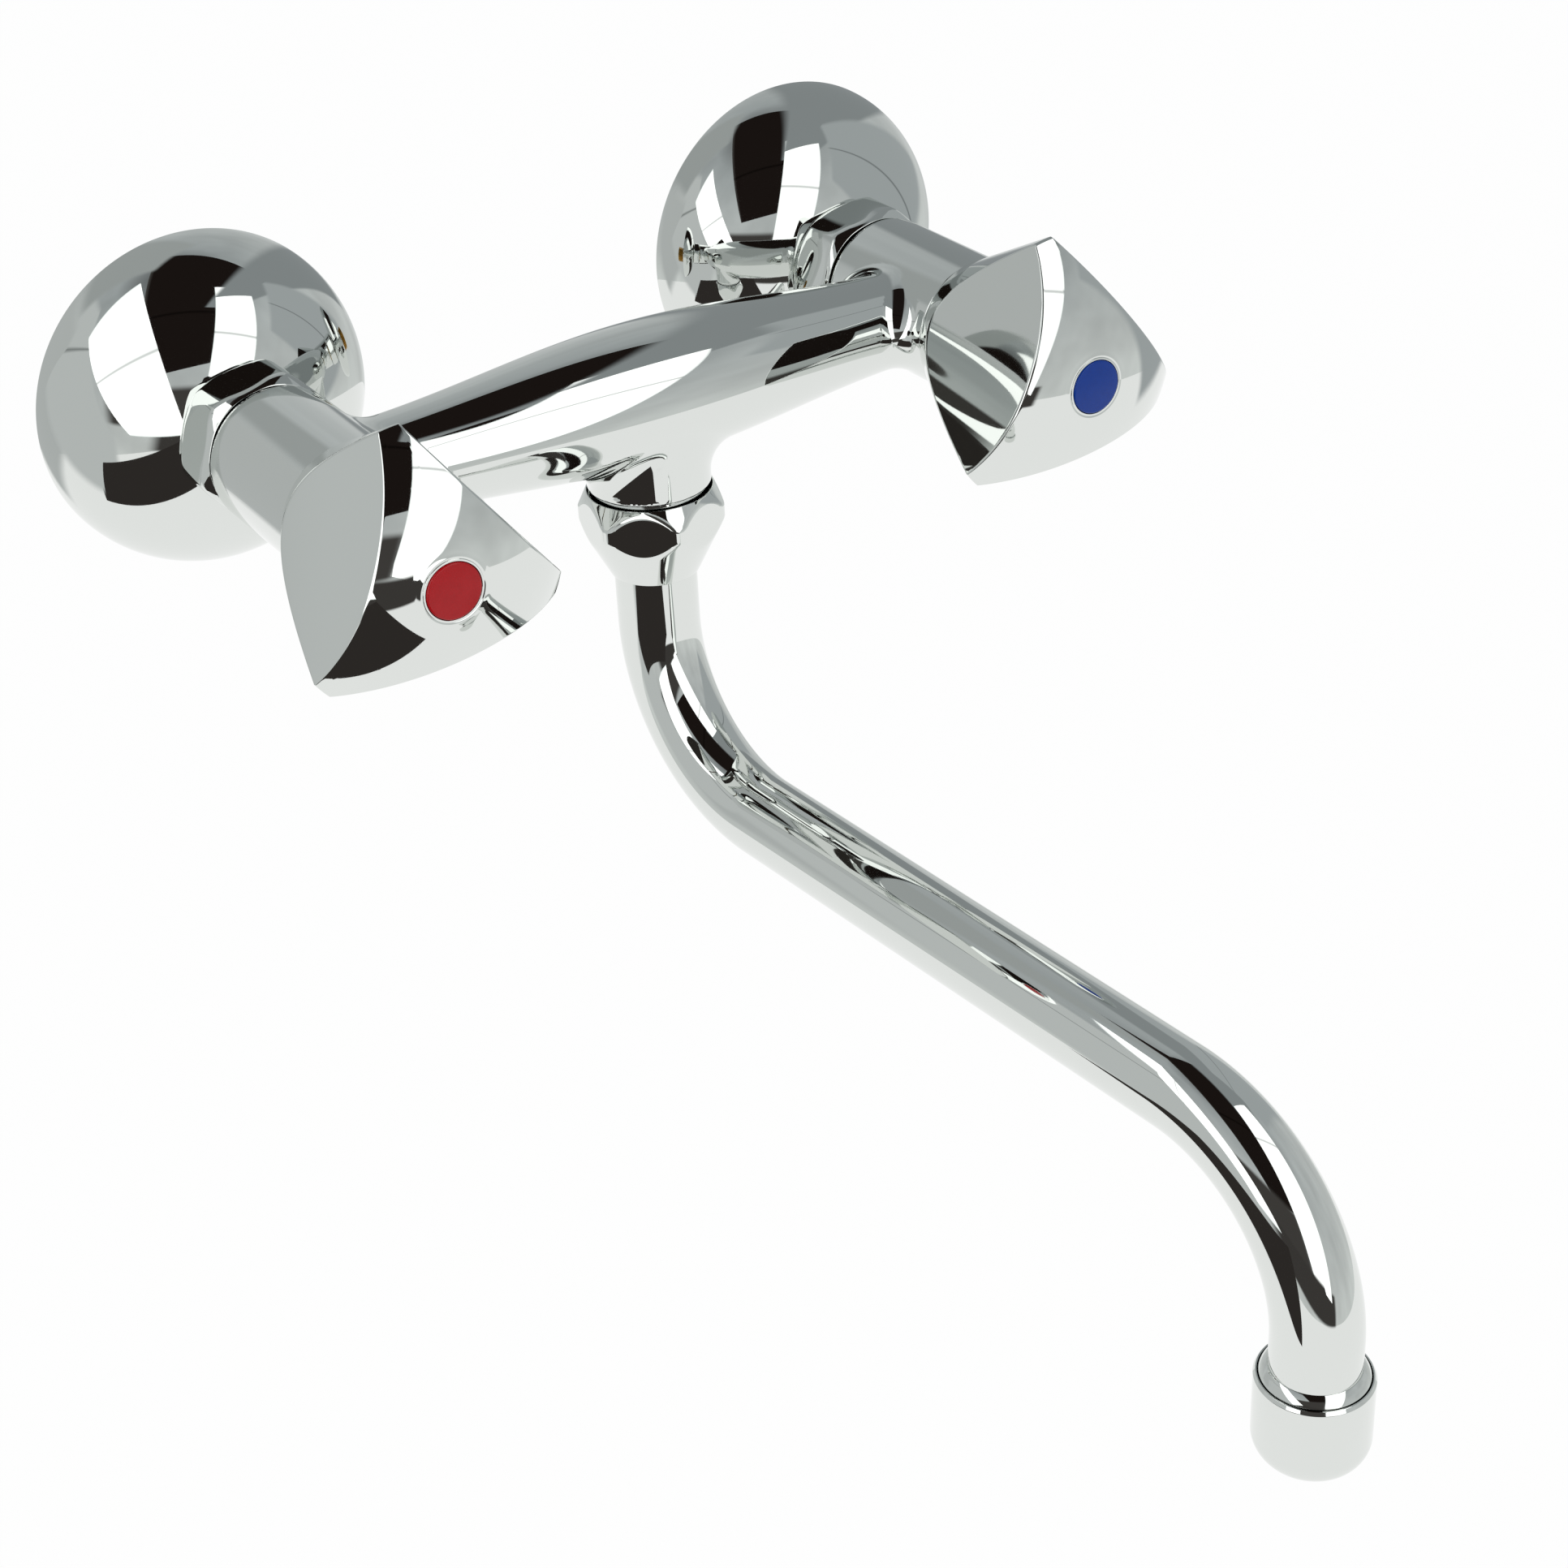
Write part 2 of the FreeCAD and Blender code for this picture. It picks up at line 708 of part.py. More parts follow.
def handle():
    """The knob: three facets, a cavity over the headwork, and a hub that grips the spindle."""
    knob = knob_blank()
    for side in range(3):
        knob = knob.cut(knob_facet(side))
    leaf_edges = [edge for edge in knob.Edges if touches_facet(edge)]
    knob = knob.makeFillet(knob_facet_round, leaf_edges)
    cavity = tube(knob_cavity_radius, knob_hub_radius, knob_back_out - 1, knob_cavity_out)
    below_hub = cylinder(knob_hub_radius + 0.1, knob_back_out - 1, hub_out)
    grip = cylinder(spindle_radius + drive_clearance, hub_out - 1, web_out)
    key = flats_cutter(spindle_flats + 2 * drive_clearance, spindle_radius + 1, hub_out - 2, web_out + 1)
    screw_hole = cylinder(screw_radius + screw_hole_clearance, web_out - 1, head_out + 1)
    well = cylinder(screw_well_radius, head_out, disc_seat_out)
    seat = cylinder(disc_radius + disc_clearance, disc_seat_out, knob_face_out + 1)
    knob = knob.cut(cavity).cut(below_hub).cut(grip.cut(key))
    return knob.cut(screw_hole).cut(well).cut(seat)


def touches_facet(edge):
    """True for the arcs round a facet: two sampled points lie on its plane, off the knob's axis."""
    first, last = edge.ParameterRange
    tilt = math.radians(knob_facet_tilt)
    for side in range(3):
        turn = math.radians(150 + 120 * side)
        inside = 0
        for step in range(5):
            place = edge.valueAt(first + (last - first) * step / 4)
            across = place.x * math.cos(turn) + place.y * math.sin(turn)
            height = place.z - knob_corner_out
            if abs(across * math.cos(tilt) + height * math.sin(tilt) - knob_facet_distance) < 1e-3:
                inside += 1
        if inside == 5:
            return True
    return False


def handle_screw():
    """A pan head screw that pulls the knob onto the spindle."""
    shank = cylinder(screw_radius, head_out - screw_length, head_out)
    head = turned([
        (0, head_out),
        (screw_head_radius, head_out),
        (screw_head_radius, head_out + screw_head_length, 0.9),
        (0, head_out + screw_head_length),
    ])
    top = head_out + screw_head_length
    slot = Part.makeBox(2 * screw_head_radius, screw_slot_width, screw_slot_depth)
    slot.translate(Vector(-screw_head_radius, -screw_slot_width / 2, top - screw_slot_depth))
    cross = slot.copy()
    cross.rotate(Vector(0, 0, 0), Vector(0, 0, 1), 90)
    reach = cylinder(screw_head_radius * 0.6, head_out, top + 1)
    return head.fuse(shank).cut(slot.fuse(cross).common(reach))


def index_disc():
    """The coloured disc in the knob's face, with the peg that snaps into the screw's well."""
    front = knob_face_out + disc_proud
    disc = turned([
        (0, disc_seat_out),
        (disc_radius, disc_seat_out),
        (disc_radius, front, disc_edge_round),
        (0, front),
    ])
    peg_radius = screw_well_radius - disc_peg_clearance
    peg_end_out = disc_seat_out - disc_peg_length
    return disc.fuse(tube(peg_radius, peg_radius - disc_peg_wall, peg_end_out, disc_seat_out))


def outlet_nut():
    """The nut under the boss: a double cone cut to six flats."""
    blank = turned([
        (0, outlet_nut_top),
        (outlet_nut_rim_radius, outlet_nut_top, 0.2),
        (outlet_nut_corner_radius, outlet_nut_shoulder_top, outlet_nut_shoulder_round / 2),
        (outlet_nut_corner_radius, outlet_nut_shoulder_bottom, outlet_nut_shoulder_round / 2),
        (outlet_nut_bottom_radius, outlet_nut_bottom, 0.3),
        (0, outlet_nut_bottom),
    ])
    flats = hexagon(outlet_nut_flats, outlet_nut_bottom - 1, outlet_nut_top + 1, outlet_nut_turn)
    thread = cylinder(boss_radius + thread_clearance, boss_bottom - 0.2, outlet_nut_top + 1)
    pocket = cylinder(outlet_nut_inner_radius, outlet_nut_seat, boss_bottom)
    mouth = cylinder(spout_tube_radius + spout_tube_clearance, outlet_nut_bottom - 1, outlet_nut_seat)
    return on_outlet(blank.common(flats).cut(thread).cut(pocket).cut(mouth))


def slide_ring():
    """The plastic ring that the spout's collar turns on, in the outlet nut."""
    outer = outlet_nut_inner_radius - slide_ring_clearance
    inner = spout_tube_radius + slide_ring_clearance
    return on_outlet(tube(outer, inner, outlet_nut_seat, outlet_nut_seat + slide_ring_thickness))


def bend(radius, outer_radius, inner_radius, turn):
    """A bent length of tube: it starts at the origin upright and curves towards -y."""
    centre = Vector(0, -radius, 0)
    outer = Part.Wire(Part.makeCircle(outer_radius, Vector(0, 0, 0), Vector(0, 0, 1)))
    inner = Part.Wire(Part.makeCircle(inner_radius, Vector(0, 0, 0), Vector(0, 0, 1)))
    face = Part.Face(outer).cut(Part.Face(inner))
    return face.revolve(centre, Vector(1, 0, 0), turn)


def spout_tube():
    """Straight down, a bend, the sloping run, a bend back, and straight down."""
    outer = spout_tube_radius
    inner = spout_tube_radius - spout_tube_wall
    drop = tube(outer, inner, spout_drop_bottom, collar_top)
    first = bend(first_bend_radius, outer, inner, -bend_turn)
    first.translate(Vector(0, 0, spout_drop_bottom))
    run = tube(outer, inner, -run_length, 0)
    run.rotate(Vector(0, 0, 0), Vector(1, 0, 0), -bend_turn)
    start_out = first_bend_radius * bend_sweep
    start_z = spout_drop_bottom - first_bend_radius * math.cos(slope)
    run.translate(Vector(0, -start_out, start_z))
    second = bend(second_bend_radius, outer, inner, -bend_turn)
    second.rotate(Vector(0, 0, 0), Vector(0, 0, 1), 180)
    second.rotate(Vector(0, 0, 0), Vector(1, 0, 0), 180)
    second.rotate(Vector(0, 0, 0), Vector(0, 0, 1), 180)
    second.translate(Vector(0, -spout_reach, second_bend_bottom))
    end = tube(outer, inner, tube_end, second_bend_bottom)
    end.translate(Vector(0, -spout_reach, 0))
    whole = drop
    for piece in (first, run, second, end):
        whole = whole.fuse(piece)
    return on_spout(whole.removeSplitter())


def spout_collar():
    """A sleeve brazed on the tube's top end, with two O-ring grooves and a flange."""
    sleeve = tube(collar_radius, spout_tube_radius, flange_bottom, collar_top)
    flange = tube(collar_flange_radius, spout_tube_radius, flange_bottom, flange_top)
    whole = sleeve.fuse(flange)
    for height in collar_groove_places:
        bottom = height - collar_groove_width
        whole = whole.cut(tube(collar_radius + 1, collar_groove_radius, bottom, height))
    return on_spout(whole)


def spout_o_rings():
    rings = []
    for height in collar_groove_places:
        middle = height - collar_groove_width / 2
        ring_radius = collar_groove_radius + spout_ring_section_radius
        rings.append(ring(spout_ring_section_radius, ring_radius, middle))
    return on_spout(Part.makeCompound(rings))


def end_sleeve():
    """The threaded sleeve on the tube's lower end, flared under the tube."""
    top = aerator_top + end_sleeve_rise
    step = aerator_thread_radius - spout_tube_radius
    arc = Part.Arc(
        Vector(spout_tube_radius + 0.05, 0, top),
        Vector(spout_tube_radius + step * 0.35, 0, top - end_sleeve_rise * 0.65),
        Vector(aerator_thread_radius, 0, aerator_top),
    ).toShape()
    corners = [
        Vector(aerator_thread_radius, 0, aerator_top),
        Vector(aerator_thread_radius, 0, tube_end),
        Vector(spout_tube_radius, 0, tube_end),
        Vector(spout_tube_radius, 0, top),
        Vector(spout_tube_radius + 0.05, 0, top),
    ]
    edges = [arc]
    for start, finish in zip(corners, corners[1:]):
        edges.append(Part.LineSegment(start, finish).toShape())
    face = Part.Face(Part.Wire(Part.__sortEdges__(edges)))
    return on_aerator(face.revolve(Vector(0, 0, 0), Vector(0, 0, 1), 360))


def aerator_housing():
    """A cup with a large round below, screwed over the end sleeve."""
    bore = aerator_thread_radius + aerator_thread_clearance
    flat_radius = aerator_radius - aerator_bottom_round
    centre_height = aerator_bottom + aerator_bottom_round
    across = aerator_mouth_radius - flat_radius
    mouth = centre_height - math.sqrt(aerator_bottom_round ** 2 - across ** 2)
    half = math.radians(-45) + math.asin(across / aerator_bottom_round) / 2
    middle = Vector(
        flat_radius + aerator_bottom_round * math.cos(half),
        0,
        centre_height + aerator_bottom_round * math.sin(half),
    )
    side = Vector(aerator_radius, 0, centre_height)
    lower = Vector(aerator_mouth_radius, 0, mouth)
    seat = aerator_top - aerator_bore_depth
    corners = [
        lower,
        Vector(aerator_mouth_radius, 0, seat - aerator_seat_depth),
        Vector(aerator_seat_radius, 0, seat - aerator_seat_depth),
        Vector(aerator_seat_radius, 0, seat),
        Vector(bore, 0, seat),
        Vector(bore, 0, aerator_top),
        Vector(aerator_radius - aerator_top_bevel * 0.6, 0, aerator_top),
        Vector(aerator_radius, 0, aerator_top - aerator_top_bevel),
        side,
    ]
    edges = [Part.Arc(side, middle, lower).toShape()]
    for start, finish in zip(corners, corners[1:]):
        edges.append(Part.LineSegment(start, finish).toShape())
    face = Part.Face(Part.Wire(Part.__sortEdges__(edges)))
    return on_aerator(face.revolve(Vector(0, 0, 0), Vector(0, 0, 1), 360))


def aerator_gasket():
    bottom = tube_end - aerator_gasket_thickness
    return on_aerator(tube(aerator_gasket_radius, aerator_gasket_bore_radius, bottom, tube_end))


def aerator_insert():
    """The cartridge: a flange on the housing's seat and a nozzle full of fine jets."""
    top = tube_end - aerator_gasket_thickness
    seat = aerator_top - aerator_bore_depth - aerator_seat_depth
    flange = cylinder(aerator_seat_radius - insert_clearance, seat, top)
    nozzle = cylinder(aerator_mouth_radius - insert_clearance, seat - insert_nozzle_length, seat)
    whole = flange.fuse(nozzle)
    jets = []
    for layer in range(insert_jet_rings + 1):
        count = max(1, 6 * layer)
        for place in range(count):
            angle = 2 * math.pi * place / count
            jet = cylinder(insert_jet_radius, seat - insert_nozzle_length - 1, top + 1)
            jet.translate(Vector(
                layer * insert_jet_spacing * math.cos(angle),
                layer * insert_jet_spacing * math.sin(angle),
                0,
            ))
            jets.append(jet)
    return on_aerator(whole.cut(Part.makeCompound(jets)))


def save(name, shape):
    shape.exportStep("parts/" + name + ".step")


os.makedirs("parts", exist_ok=True)

still_pieces = {
    "rosette": rosette,
    "eccentric": eccentric,
    "inlet_gasket": inlet_gasket,
    "tailpiece": tailpiece,
    "inlet_nut": inlet_nut,
    "headwork_gasket": headwork_gasket,
    "headwork": headwork,
    "plunger": plunger,
    "valve_washer": valve_washer,
    "washer_screw": washer_screw,
}
for piece_name, make_piece in still_pieces.items():
    piece = make_piece()
    save("left_" + piece_name, on_valve(piece, -inlet_x))
    save("right_" + piece_name, on_valve(piece, inlet_x))

turning_pieces = {
    "spindle": spindle,
    "spindle_o_ring": spindle_o_ring,
    "spindle_clip": spindle_clip,
    "handle": handle,
    "handle_screw": handle_screw,
    "index_disc": index_disc,
}
for piece_name, make_piece in turning_pieces.items():
    piece = make_piece()
    save("left_" + piece_name, on_valve(turned_by(piece, left_knob_turn), -inlet_x))
    save("right_" + piece_name, on_valve(turned_by(piece, right_knob_turn), inlet_x))

outlet_pieces = {
    "mixer_body": mixer_body,
    "outlet_nut": outlet_nut,
    "spout_slide_ring": slide_ring,
    "spout_tube": spout_tube,
    "spout_collar": spout_collar,
    "spout_o_rings": spout_o_rings,
    "spout_end_sleeve": end_sleeve,
    "aerator_housing": aerator_housing,
    "aerator_gasket": aerator_gasket,
    "aerator_insert": aerator_insert,
}
for piece_name, make_piece in outlet_pieces.items():
    save(piece_name, make_piece())
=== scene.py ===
import math

import bpy
import numpy as np
from mathutils import Matrix, Vector


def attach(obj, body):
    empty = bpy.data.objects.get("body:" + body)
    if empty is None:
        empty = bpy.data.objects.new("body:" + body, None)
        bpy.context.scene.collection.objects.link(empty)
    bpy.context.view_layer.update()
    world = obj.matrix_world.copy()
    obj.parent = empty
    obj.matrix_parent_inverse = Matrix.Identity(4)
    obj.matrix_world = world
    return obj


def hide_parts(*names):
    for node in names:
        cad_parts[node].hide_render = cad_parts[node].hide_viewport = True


# A wall mounted kitchen mixer tap in bright chrome, around its CAD frame.
# Metres. x runs to the right, y into the wall, z up; the wall is y = 0.
# Pieces are worked out in millimetres as whole arrays and scaled once, in placePiece.

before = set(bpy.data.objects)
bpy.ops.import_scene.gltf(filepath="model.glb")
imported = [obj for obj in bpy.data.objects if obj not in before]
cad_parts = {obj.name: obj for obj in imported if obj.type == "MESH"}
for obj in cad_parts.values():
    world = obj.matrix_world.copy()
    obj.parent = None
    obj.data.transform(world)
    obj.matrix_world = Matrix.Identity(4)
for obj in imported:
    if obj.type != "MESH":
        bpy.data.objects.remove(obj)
scene = bpy.context.scene
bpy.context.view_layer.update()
print("frame loaded:", len(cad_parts), "CAD nodes")

millimetre = 0.001
inletX = 75.0        # half the distance between the two inlets
outletOut = 58.56    # the outlet's upright axis, out from the wall
spoutTurn = 5.95     # the spout at rest, degrees
valves = {"left": -inletX, "right": inletX}


def gridFaces(rows, columns, closedRows):
    # One quad between each pair of neighbouring rows and columns. Columns always wrap round.
    row, column = np.meshgrid(np.arange(rows if closedRows else rows - 1), np.arange(columns), indexing="ij")
    nextRow = (row + 1) % rows
    nextColumn = (column + 1) % columns
    corners = [row * columns + column, row * columns + nextColumn,
               nextRow * columns + nextColumn, nextRow * columns + column]
    return np.stack(corners, axis=-1).reshape(-1, 4)


def weldAndClean(points, faces, tolerance=1e-4):
    # Points nearer than the tolerance become one, and a quad with two equal corners a triangle.
    keys = np.round(points / tolerance).astype(np.int64)
    _, first, place = np.unique(keys, axis=0, return_index=True, return_inverse=True)
    faces = place.reshape(-1)[faces]
    same = faces == np.roll(faces, -1, axis=1)
    repeats = same.sum(axis=1)
    triangles = faces[repeats == 1][~same[repeats == 1]].reshape(-1, 3)
    return points[first], faces[repeats == 0], triangles


def addPiece(name, grids, body, slotName, nodes=(), closedRows=True):
    # One piece from grids of points in mm, each of shape rows x columns x 3.
    allFaces = []
    count = 0
    for grid in grids:
        rows, columns = grid.shape[:2]
        allFaces.append(gridFaces(rows, columns, closedRows) + count)
        count += rows * columns
    allPoints = np.concatenate([grid.reshape(-1, 3) for grid in grids])
    points, quads, triangles = weldAndClean(allPoints, np.concatenate(allFaces))
    if enclosedVolume(points, quads, triangles) < 0:
        quads = quads[:, ::-1]
        triangles = triangles[:, ::-1]
    placePiece(name, points, quads, triangles, areaNormals(points, quads, triangles), body, slotName, nodes)


def placePiece(name, points, quads, triangles, normals, body, slotName, nodes=()):
    loops = np.concatenate([quads.ravel(), triangles.ravel()]).astype(np.int32)
    sizes = np.concatenate([np.full(len(quads), 4), np.full(len(triangles), 3)])
    mesh = bpy.data.meshes.new(name)
    mesh.vertices.add(len(points))
    mesh.vertices.foreach_set("co", (points * millimetre).astype(np.float32).ravel())
    mesh.loops.add(len(loops))
    mesh.loops.foreach_set("vertex_index", loops)
    mesh.polygons.add(len(sizes))
    mesh.polygons.foreach_set("loop_start", (np.cumsum(sizes) - sizes).astype(np.int32))
    mesh.update(calc_edges=True)
    mesh.validate()
    mesh.polygons.foreach_set("use_smooth", np.ones(len(mesh.polygons), dtype=bool))
    mesh.normals_split_custom_set_from_vertices(normals)
    piece = addObject(name, mesh, finishes[slotName])
    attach(piece, body)
    if nodes:
        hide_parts(*nodes)


def addObject(name, mesh, material):
    mesh.materials.append(material)
    obj = bpy.data.objects.new(name, mesh)
    scene.collection.objects.link(obj)
    return obj


def enclosedVolume(points, quads, triangles):
    # The sum over triangles of a . (b x c) / 6, which is negative where faces point inwards.
    parts = np.concatenate([quads[:, :3], quads[:, (0, 2, 3)], triangles])
    a, b, c = points[parts[:, 0]], points[parts[:, 1]], points[parts[:, 2]]
    return float(np.sum(a * np.cross(b, c)) / 6)


def areaNormals(points, quads, triangles):
    # Each point's normal is the sum of its faces' normals times their areas, so flats stay flat.
    normals = np.zeros_like(points)
    for faces, ends in ((quads, (0, 2, 1, 3)), (triangles, (0, 1, 0, 2))):
        a, b, c, d = [points[faces[:, end]] for end in ends]
        faceNormals = np.cross(b - a, d - c)
        for corner in range(faces.shape[1]):
            np.add.at(normals, faces[:, corner], faceNormals)
    return normals / np.maximum(np.linalg.norm(normals, axis=1, keepdims=True), 1e-12)


def roundedOutline(corners, stepDegrees=6.0):
    # Corners are (radius, height, rounding). Each rounded corner becomes an arc that touches
    # both of its sides: centre = corner + inward direction * rounding / sin(half the corner angle).
    places = np.array([corner[:2] for corner in corners], dtype=float)
    outline = []
    for index, corner in enumerate(corners):
        rounding = corner[2] if len(corner) > 2 else 0.0
        here = places[index]
        if rounding == 0.0:
            outline.append(here[None, :])
            continue
        before = places[index - 1] - here
        after = places[(index + 1) % len(corners)] - here
        before /= np.linalg.norm(before)
        after /= np.linalg.norm(after)
        half = math.acos(np.clip(before @ after, -1, 1)) / 2
        inward = (before + after) / np.linalg.norm(before + after)
        centre = here + inward * rounding / math.sin(half)
        start = here + before * rounding / math.tan(half) - centre
        end = here + after * rounding / math.tan(half) - centre
        sweep = math.atan2(start[0] * end[1] - start[1] * end[0], start @ end)
        steps = max(2, int(abs(math.degrees(sweep)) / stepDegrees) + 1)
        angles = np.linspace(0, sweep, steps + 1)
        turnedX = start[0] * np.cos(angles) - start[1] * np.sin(angles)
        turnedY = start[0] * np.sin(angles) + start[1] * np.cos(angles)
        outline.append(centre + np.stack([turnedX, turnedY], axis=1))
    return np.concatenate(outline)


def named(values, *corners):
    # Corners that name their radius and height, each with its rounding if it has one.
    return [(values[radius], values[height], *rounding) for radius, height, *rounding in corners]


def fullTurn(sides):
    return np.arange(sides) * 2 * math.pi / sides


def aroundAxis(radius, angle, height):
    # (radius cos a, radius sin a, height) for every angle a round z.
    radius, height = np.broadcast_arrays(radius, height)
    return np.stack([radius * np.cos(angle), radius * np.sin(angle), height], axis=-1)


def turnedGrid(outline, sides):
    radius = np.repeat(outline[:, 0, None], sides, axis=1)
    return aroundAxis(radius, fullTurn(sides), outline[:, 1, None])


def turnedPoints(points, degrees):
    turn = math.radians(degrees)
    x = points[..., 0] * math.cos(turn) - points[..., 1] * math.sin(turn)
    y = points[..., 0] * math.sin(turn) + points[..., 1] * math.cos(turn)
    return x, y, points[..., 2]


def onValve(points, x, turn=0.0):
    # Made about z, laid along a valve's axis: height becomes the distance out from the wall.
    across, upward, out = turnedPoints(points, turn)
    return np.stack([across + x, -out, upward], axis=-1)


def onOutlet(points):
    return points + np.array([0.0, -outletOut, 0.0])


def onSpout(points):
    return onOutlet(np.stack(turnedPoints(points, spoutTurn), axis=-1))


def denser(outline, longest):
    # Cuts the sides of a closed outline that are longer than this into equal parts.
    parts = []
    for start, end in zip(outline, np.roll(outline, -1, axis=0)):
        steps = max(1, int(math.ceil(np.linalg.norm(end - start) / longest)))
        share = np.arange(steps)[:, None] / steps
        parts.append(start + (end - start) * share)
    return np.concatenate(parts)


def arcThrough(start, end, rise):
    # Centre, radius and end angles of the arc whose middle stands off its chord by rise: with half
    # chord h the radius is (h * h + rise * rise) / (2 * rise).
    start, end = np.array(start, dtype=float), np.array(end, dtype=float)
    chord = end - start
    half = np.linalg.norm(chord) / 2
    across = np.array([-chord[1], chord[0]]) / (2 * half)
    radius = (half * half + rise * rise) / (2 * rise)
    centre = (start + end) / 2 + across * (rise - radius)
    first, last = [math.atan2(*(place - centre)[::-1]) for place in (start, end)]
    return centre, radius, first, last


def alongArc(centre, radius, angle):
    return centre + radius * np.stack([np.cos(angle), np.sin(angle)], axis=-1)


def bowedArc(start, end, rise, steps):
    # Places along such an arc, the two ends among them.
    centre, radius, first, last = arcThrough(start, end, rise)
    sweep = (last - first + math.pi) % (2 * math.pi) - math.pi
    return alongArc(centre, abs(radius), first + sweep * np.linspace(0, 1, steps + 1))


def linearColour(hexColour):
    # sRGB hex to linear light: below 0.04045 a straight line, above it a power of 2.4.
    value = np.array([int(hexColour[index:index + 2], 16) / 255 for index in (1, 3, 5)])
    linear = np.where(value <= 0.04045, value / 12.92, ((value + 0.055) / 1.055) ** 2.4)
    return (*[float(part) for part in linear], 1.0)


def addNode(tree, kind, settings=None, inputs=None):
    # One node, its settings, and its inputs, each a value or another node's output socket.
    node = tree.nodes.new("ShaderNode" + kind)
    for name, value in (settings or {}).items():
        setattr(node, name, value)
    for name, value in (inputs or {}).items():
        if isinstance(value, bpy.types.NodeSocket):
            tree.links.new(value, node.inputs[name])
        else:
            node.inputs[name].default_value = value
    return node


def emptyTree(holder, output):
    holder.use_nodes = True
    holder.node_tree.nodes.clear()
    return holder, holder.node_tree, addNode(holder.node_tree, output).inputs["Surface"]


def emptyMaterial(name):
    return emptyTree(bpy.data.materials.new(name), "OutputMaterial")


def newMaterial(name):
    # The tree, the place on the piece in metres, and a function that adds the shader on top.
    material, tree, surface = emptyMaterial(name)

    def finish(inputs):
        tree.links.new(addNode(tree, "BsdfPrincipled", {}, inputs).outputs["BSDF"], surface)
        return material

    return tree, addNode(tree, "TexCoord").outputs["Object"], finish


def spread(tree, factor, low, high, start=0.0, end=1.0):
    # A pattern from start to end stretched between two values.
    return addNode(tree, "MapRange", {}, {"Value": factor, "To Min": low, "To Max": high,
                                          "From Min": start, "From Max": end}).outputs["Result"]


def noise(tree, position, length, detail):
    # A soft 0 to 1 pattern whose blots are this many millimetres long.
    return addNode(tree, "TexNoise", {}, {
        "Vector": position, "Scale": 1 / (length * millimetre), "Detail": detail}).outputs["Fac"]


def twoColours(tree, factor, first, second):
    return addNode(tree, "MixRGB", {}, {
        "Fac": factor, "Color1": linearColour(first), "Color2": linearColour(second)}).outputs["Color"]


def relief(tree, height, strength, depth, under=None):
    # Bumps this many millimetres deep, laid over the bumps under them.
    inputs = {"Height": height, "Strength": strength, "Distance": depth * millimetre}
    if under:
        inputs["Normal"] = under
    return addNode(tree, "Bump", {}, inputs).outputs["Normal"]


# Bright chrome plate over polished brass: electroplated, so mirror smooth and a neutral grey white.
# The polishing under it leaves waves some 12 mm long and a film of fine marks under 1 mm.
chromePlate = {"colour": "#DEE1DE", "roughness": (0.012, 0.04), "hazeLength": 1000 / 90,
               "waveLength": 12.0, "waveDepth": 0.006, "markLength": 0.7, "markDepth": 0.00012}


def makeChrome():
    tree, position, finish = newMaterial("chromePlatedBrass")
    haze = noise(tree, position, chromePlate["hazeLength"], 3.0)
    waves = relief(tree, noise(tree, position, chromePlate["waveLength"], 0.0), 1.0, chromePlate["waveDepth"])
    marks = noise(tree, position, chromePlate["markLength"], 1.0)
    return finish({"Base Color": linearColour(chromePlate["colour"]), "Metallic": 1.0,
                   "Roughness": spread(tree, haze, *chromePlate["roughness"]),
                   "Normal": relief(tree, marks, 1.0, chromePlate["markDepth"], waves)})


# Free-cutting brass, turned and left bare: warm yellow with the tool's fine rings and dull spots.
bareBrass = {"colour": "#C8A45A", "dull": "#A88645", "roughness": (0.22, 0.38), "spotLength": 6.25,
             "ringScale": 3000.0, "ringDistortion": 0.4, "ringStrength": 0.35, "ringDepth": 0.02}


def makeBrass():
    tree, position, finish = newMaterial("turnedBrass")
    spots = noise(tree, position, bareBrass["spotLength"], 4.0)
    rings = addNode(tree, "TexWave", {"wave_type": "BANDS", "bands_direction": "Y"}, {
        "Vector": position, "Scale": bareBrass["ringScale"], "Distortion": bareBrass["ringDistortion"]})
    ringed = relief(tree, rings.outputs["Fac"], bareBrass["ringStrength"], bareBrass["ringDepth"])
    return finish({"Base Color": twoColours(tree, spots, bareBrass["colour"], bareBrass["dull"]),
                   "Metallic": 1.0, "Roughness": spread(tree, spots, *bareBrass["roughness"]),
                   "Normal": ringed})


# Moulded plastics and rubbers: two near colours, roughness, the grain the mould leaves and its
# depth in mm, and how strongly they shine. The discs are dyed plastic, polished in the mould.
# The roughness varies by these two shares over the grain.
mouldGrain = {"roughnessShares": (0.8, 1.2), "strength": 0.5}
mouldings = {
    "red_plastic": ("dyedAbsRed", "#A00A14", "#94070F", 0.20, 1.4, 0.004, 0.3),
    "blue_plastic": ("dyedAbsBlue", "#02348A", "#012E7E", 0.20, 1.4, 0.004, 0.3),
    "white_plastic": ("mouldedAcetal", "#E6E5DF", "#DCDAD2", 0.38, 0.8, 0.010, 0.5),
    "rubber": ("nitrileRubber", "#1C1C1D", "#262626", 0.62, 0.5, 0.020, 0.5),
    "fibre": ("vulcanisedFibre", "#7A3A2C", "#8C4A38", 0.70, 0.4, 0.020, 0.5),
}


def makeMoulding(slotName):
    name, colour, second, roughness, grain, depth, shine = mouldings[slotName]
    tree, position, finish = newMaterial(name)
    pattern = noise(tree, position, grain, 2.0)
    smooth, rough = [roughness * share for share in mouldGrain["roughnessShares"]]
    return finish({"Base Color": twoColours(tree, pattern, colour, second), "Specular IOR Level": shine,
                   "Roughness": spread(tree, pattern, smooth, rough),
                   "Normal": relief(tree, pattern, mouldGrain["strength"], depth)})


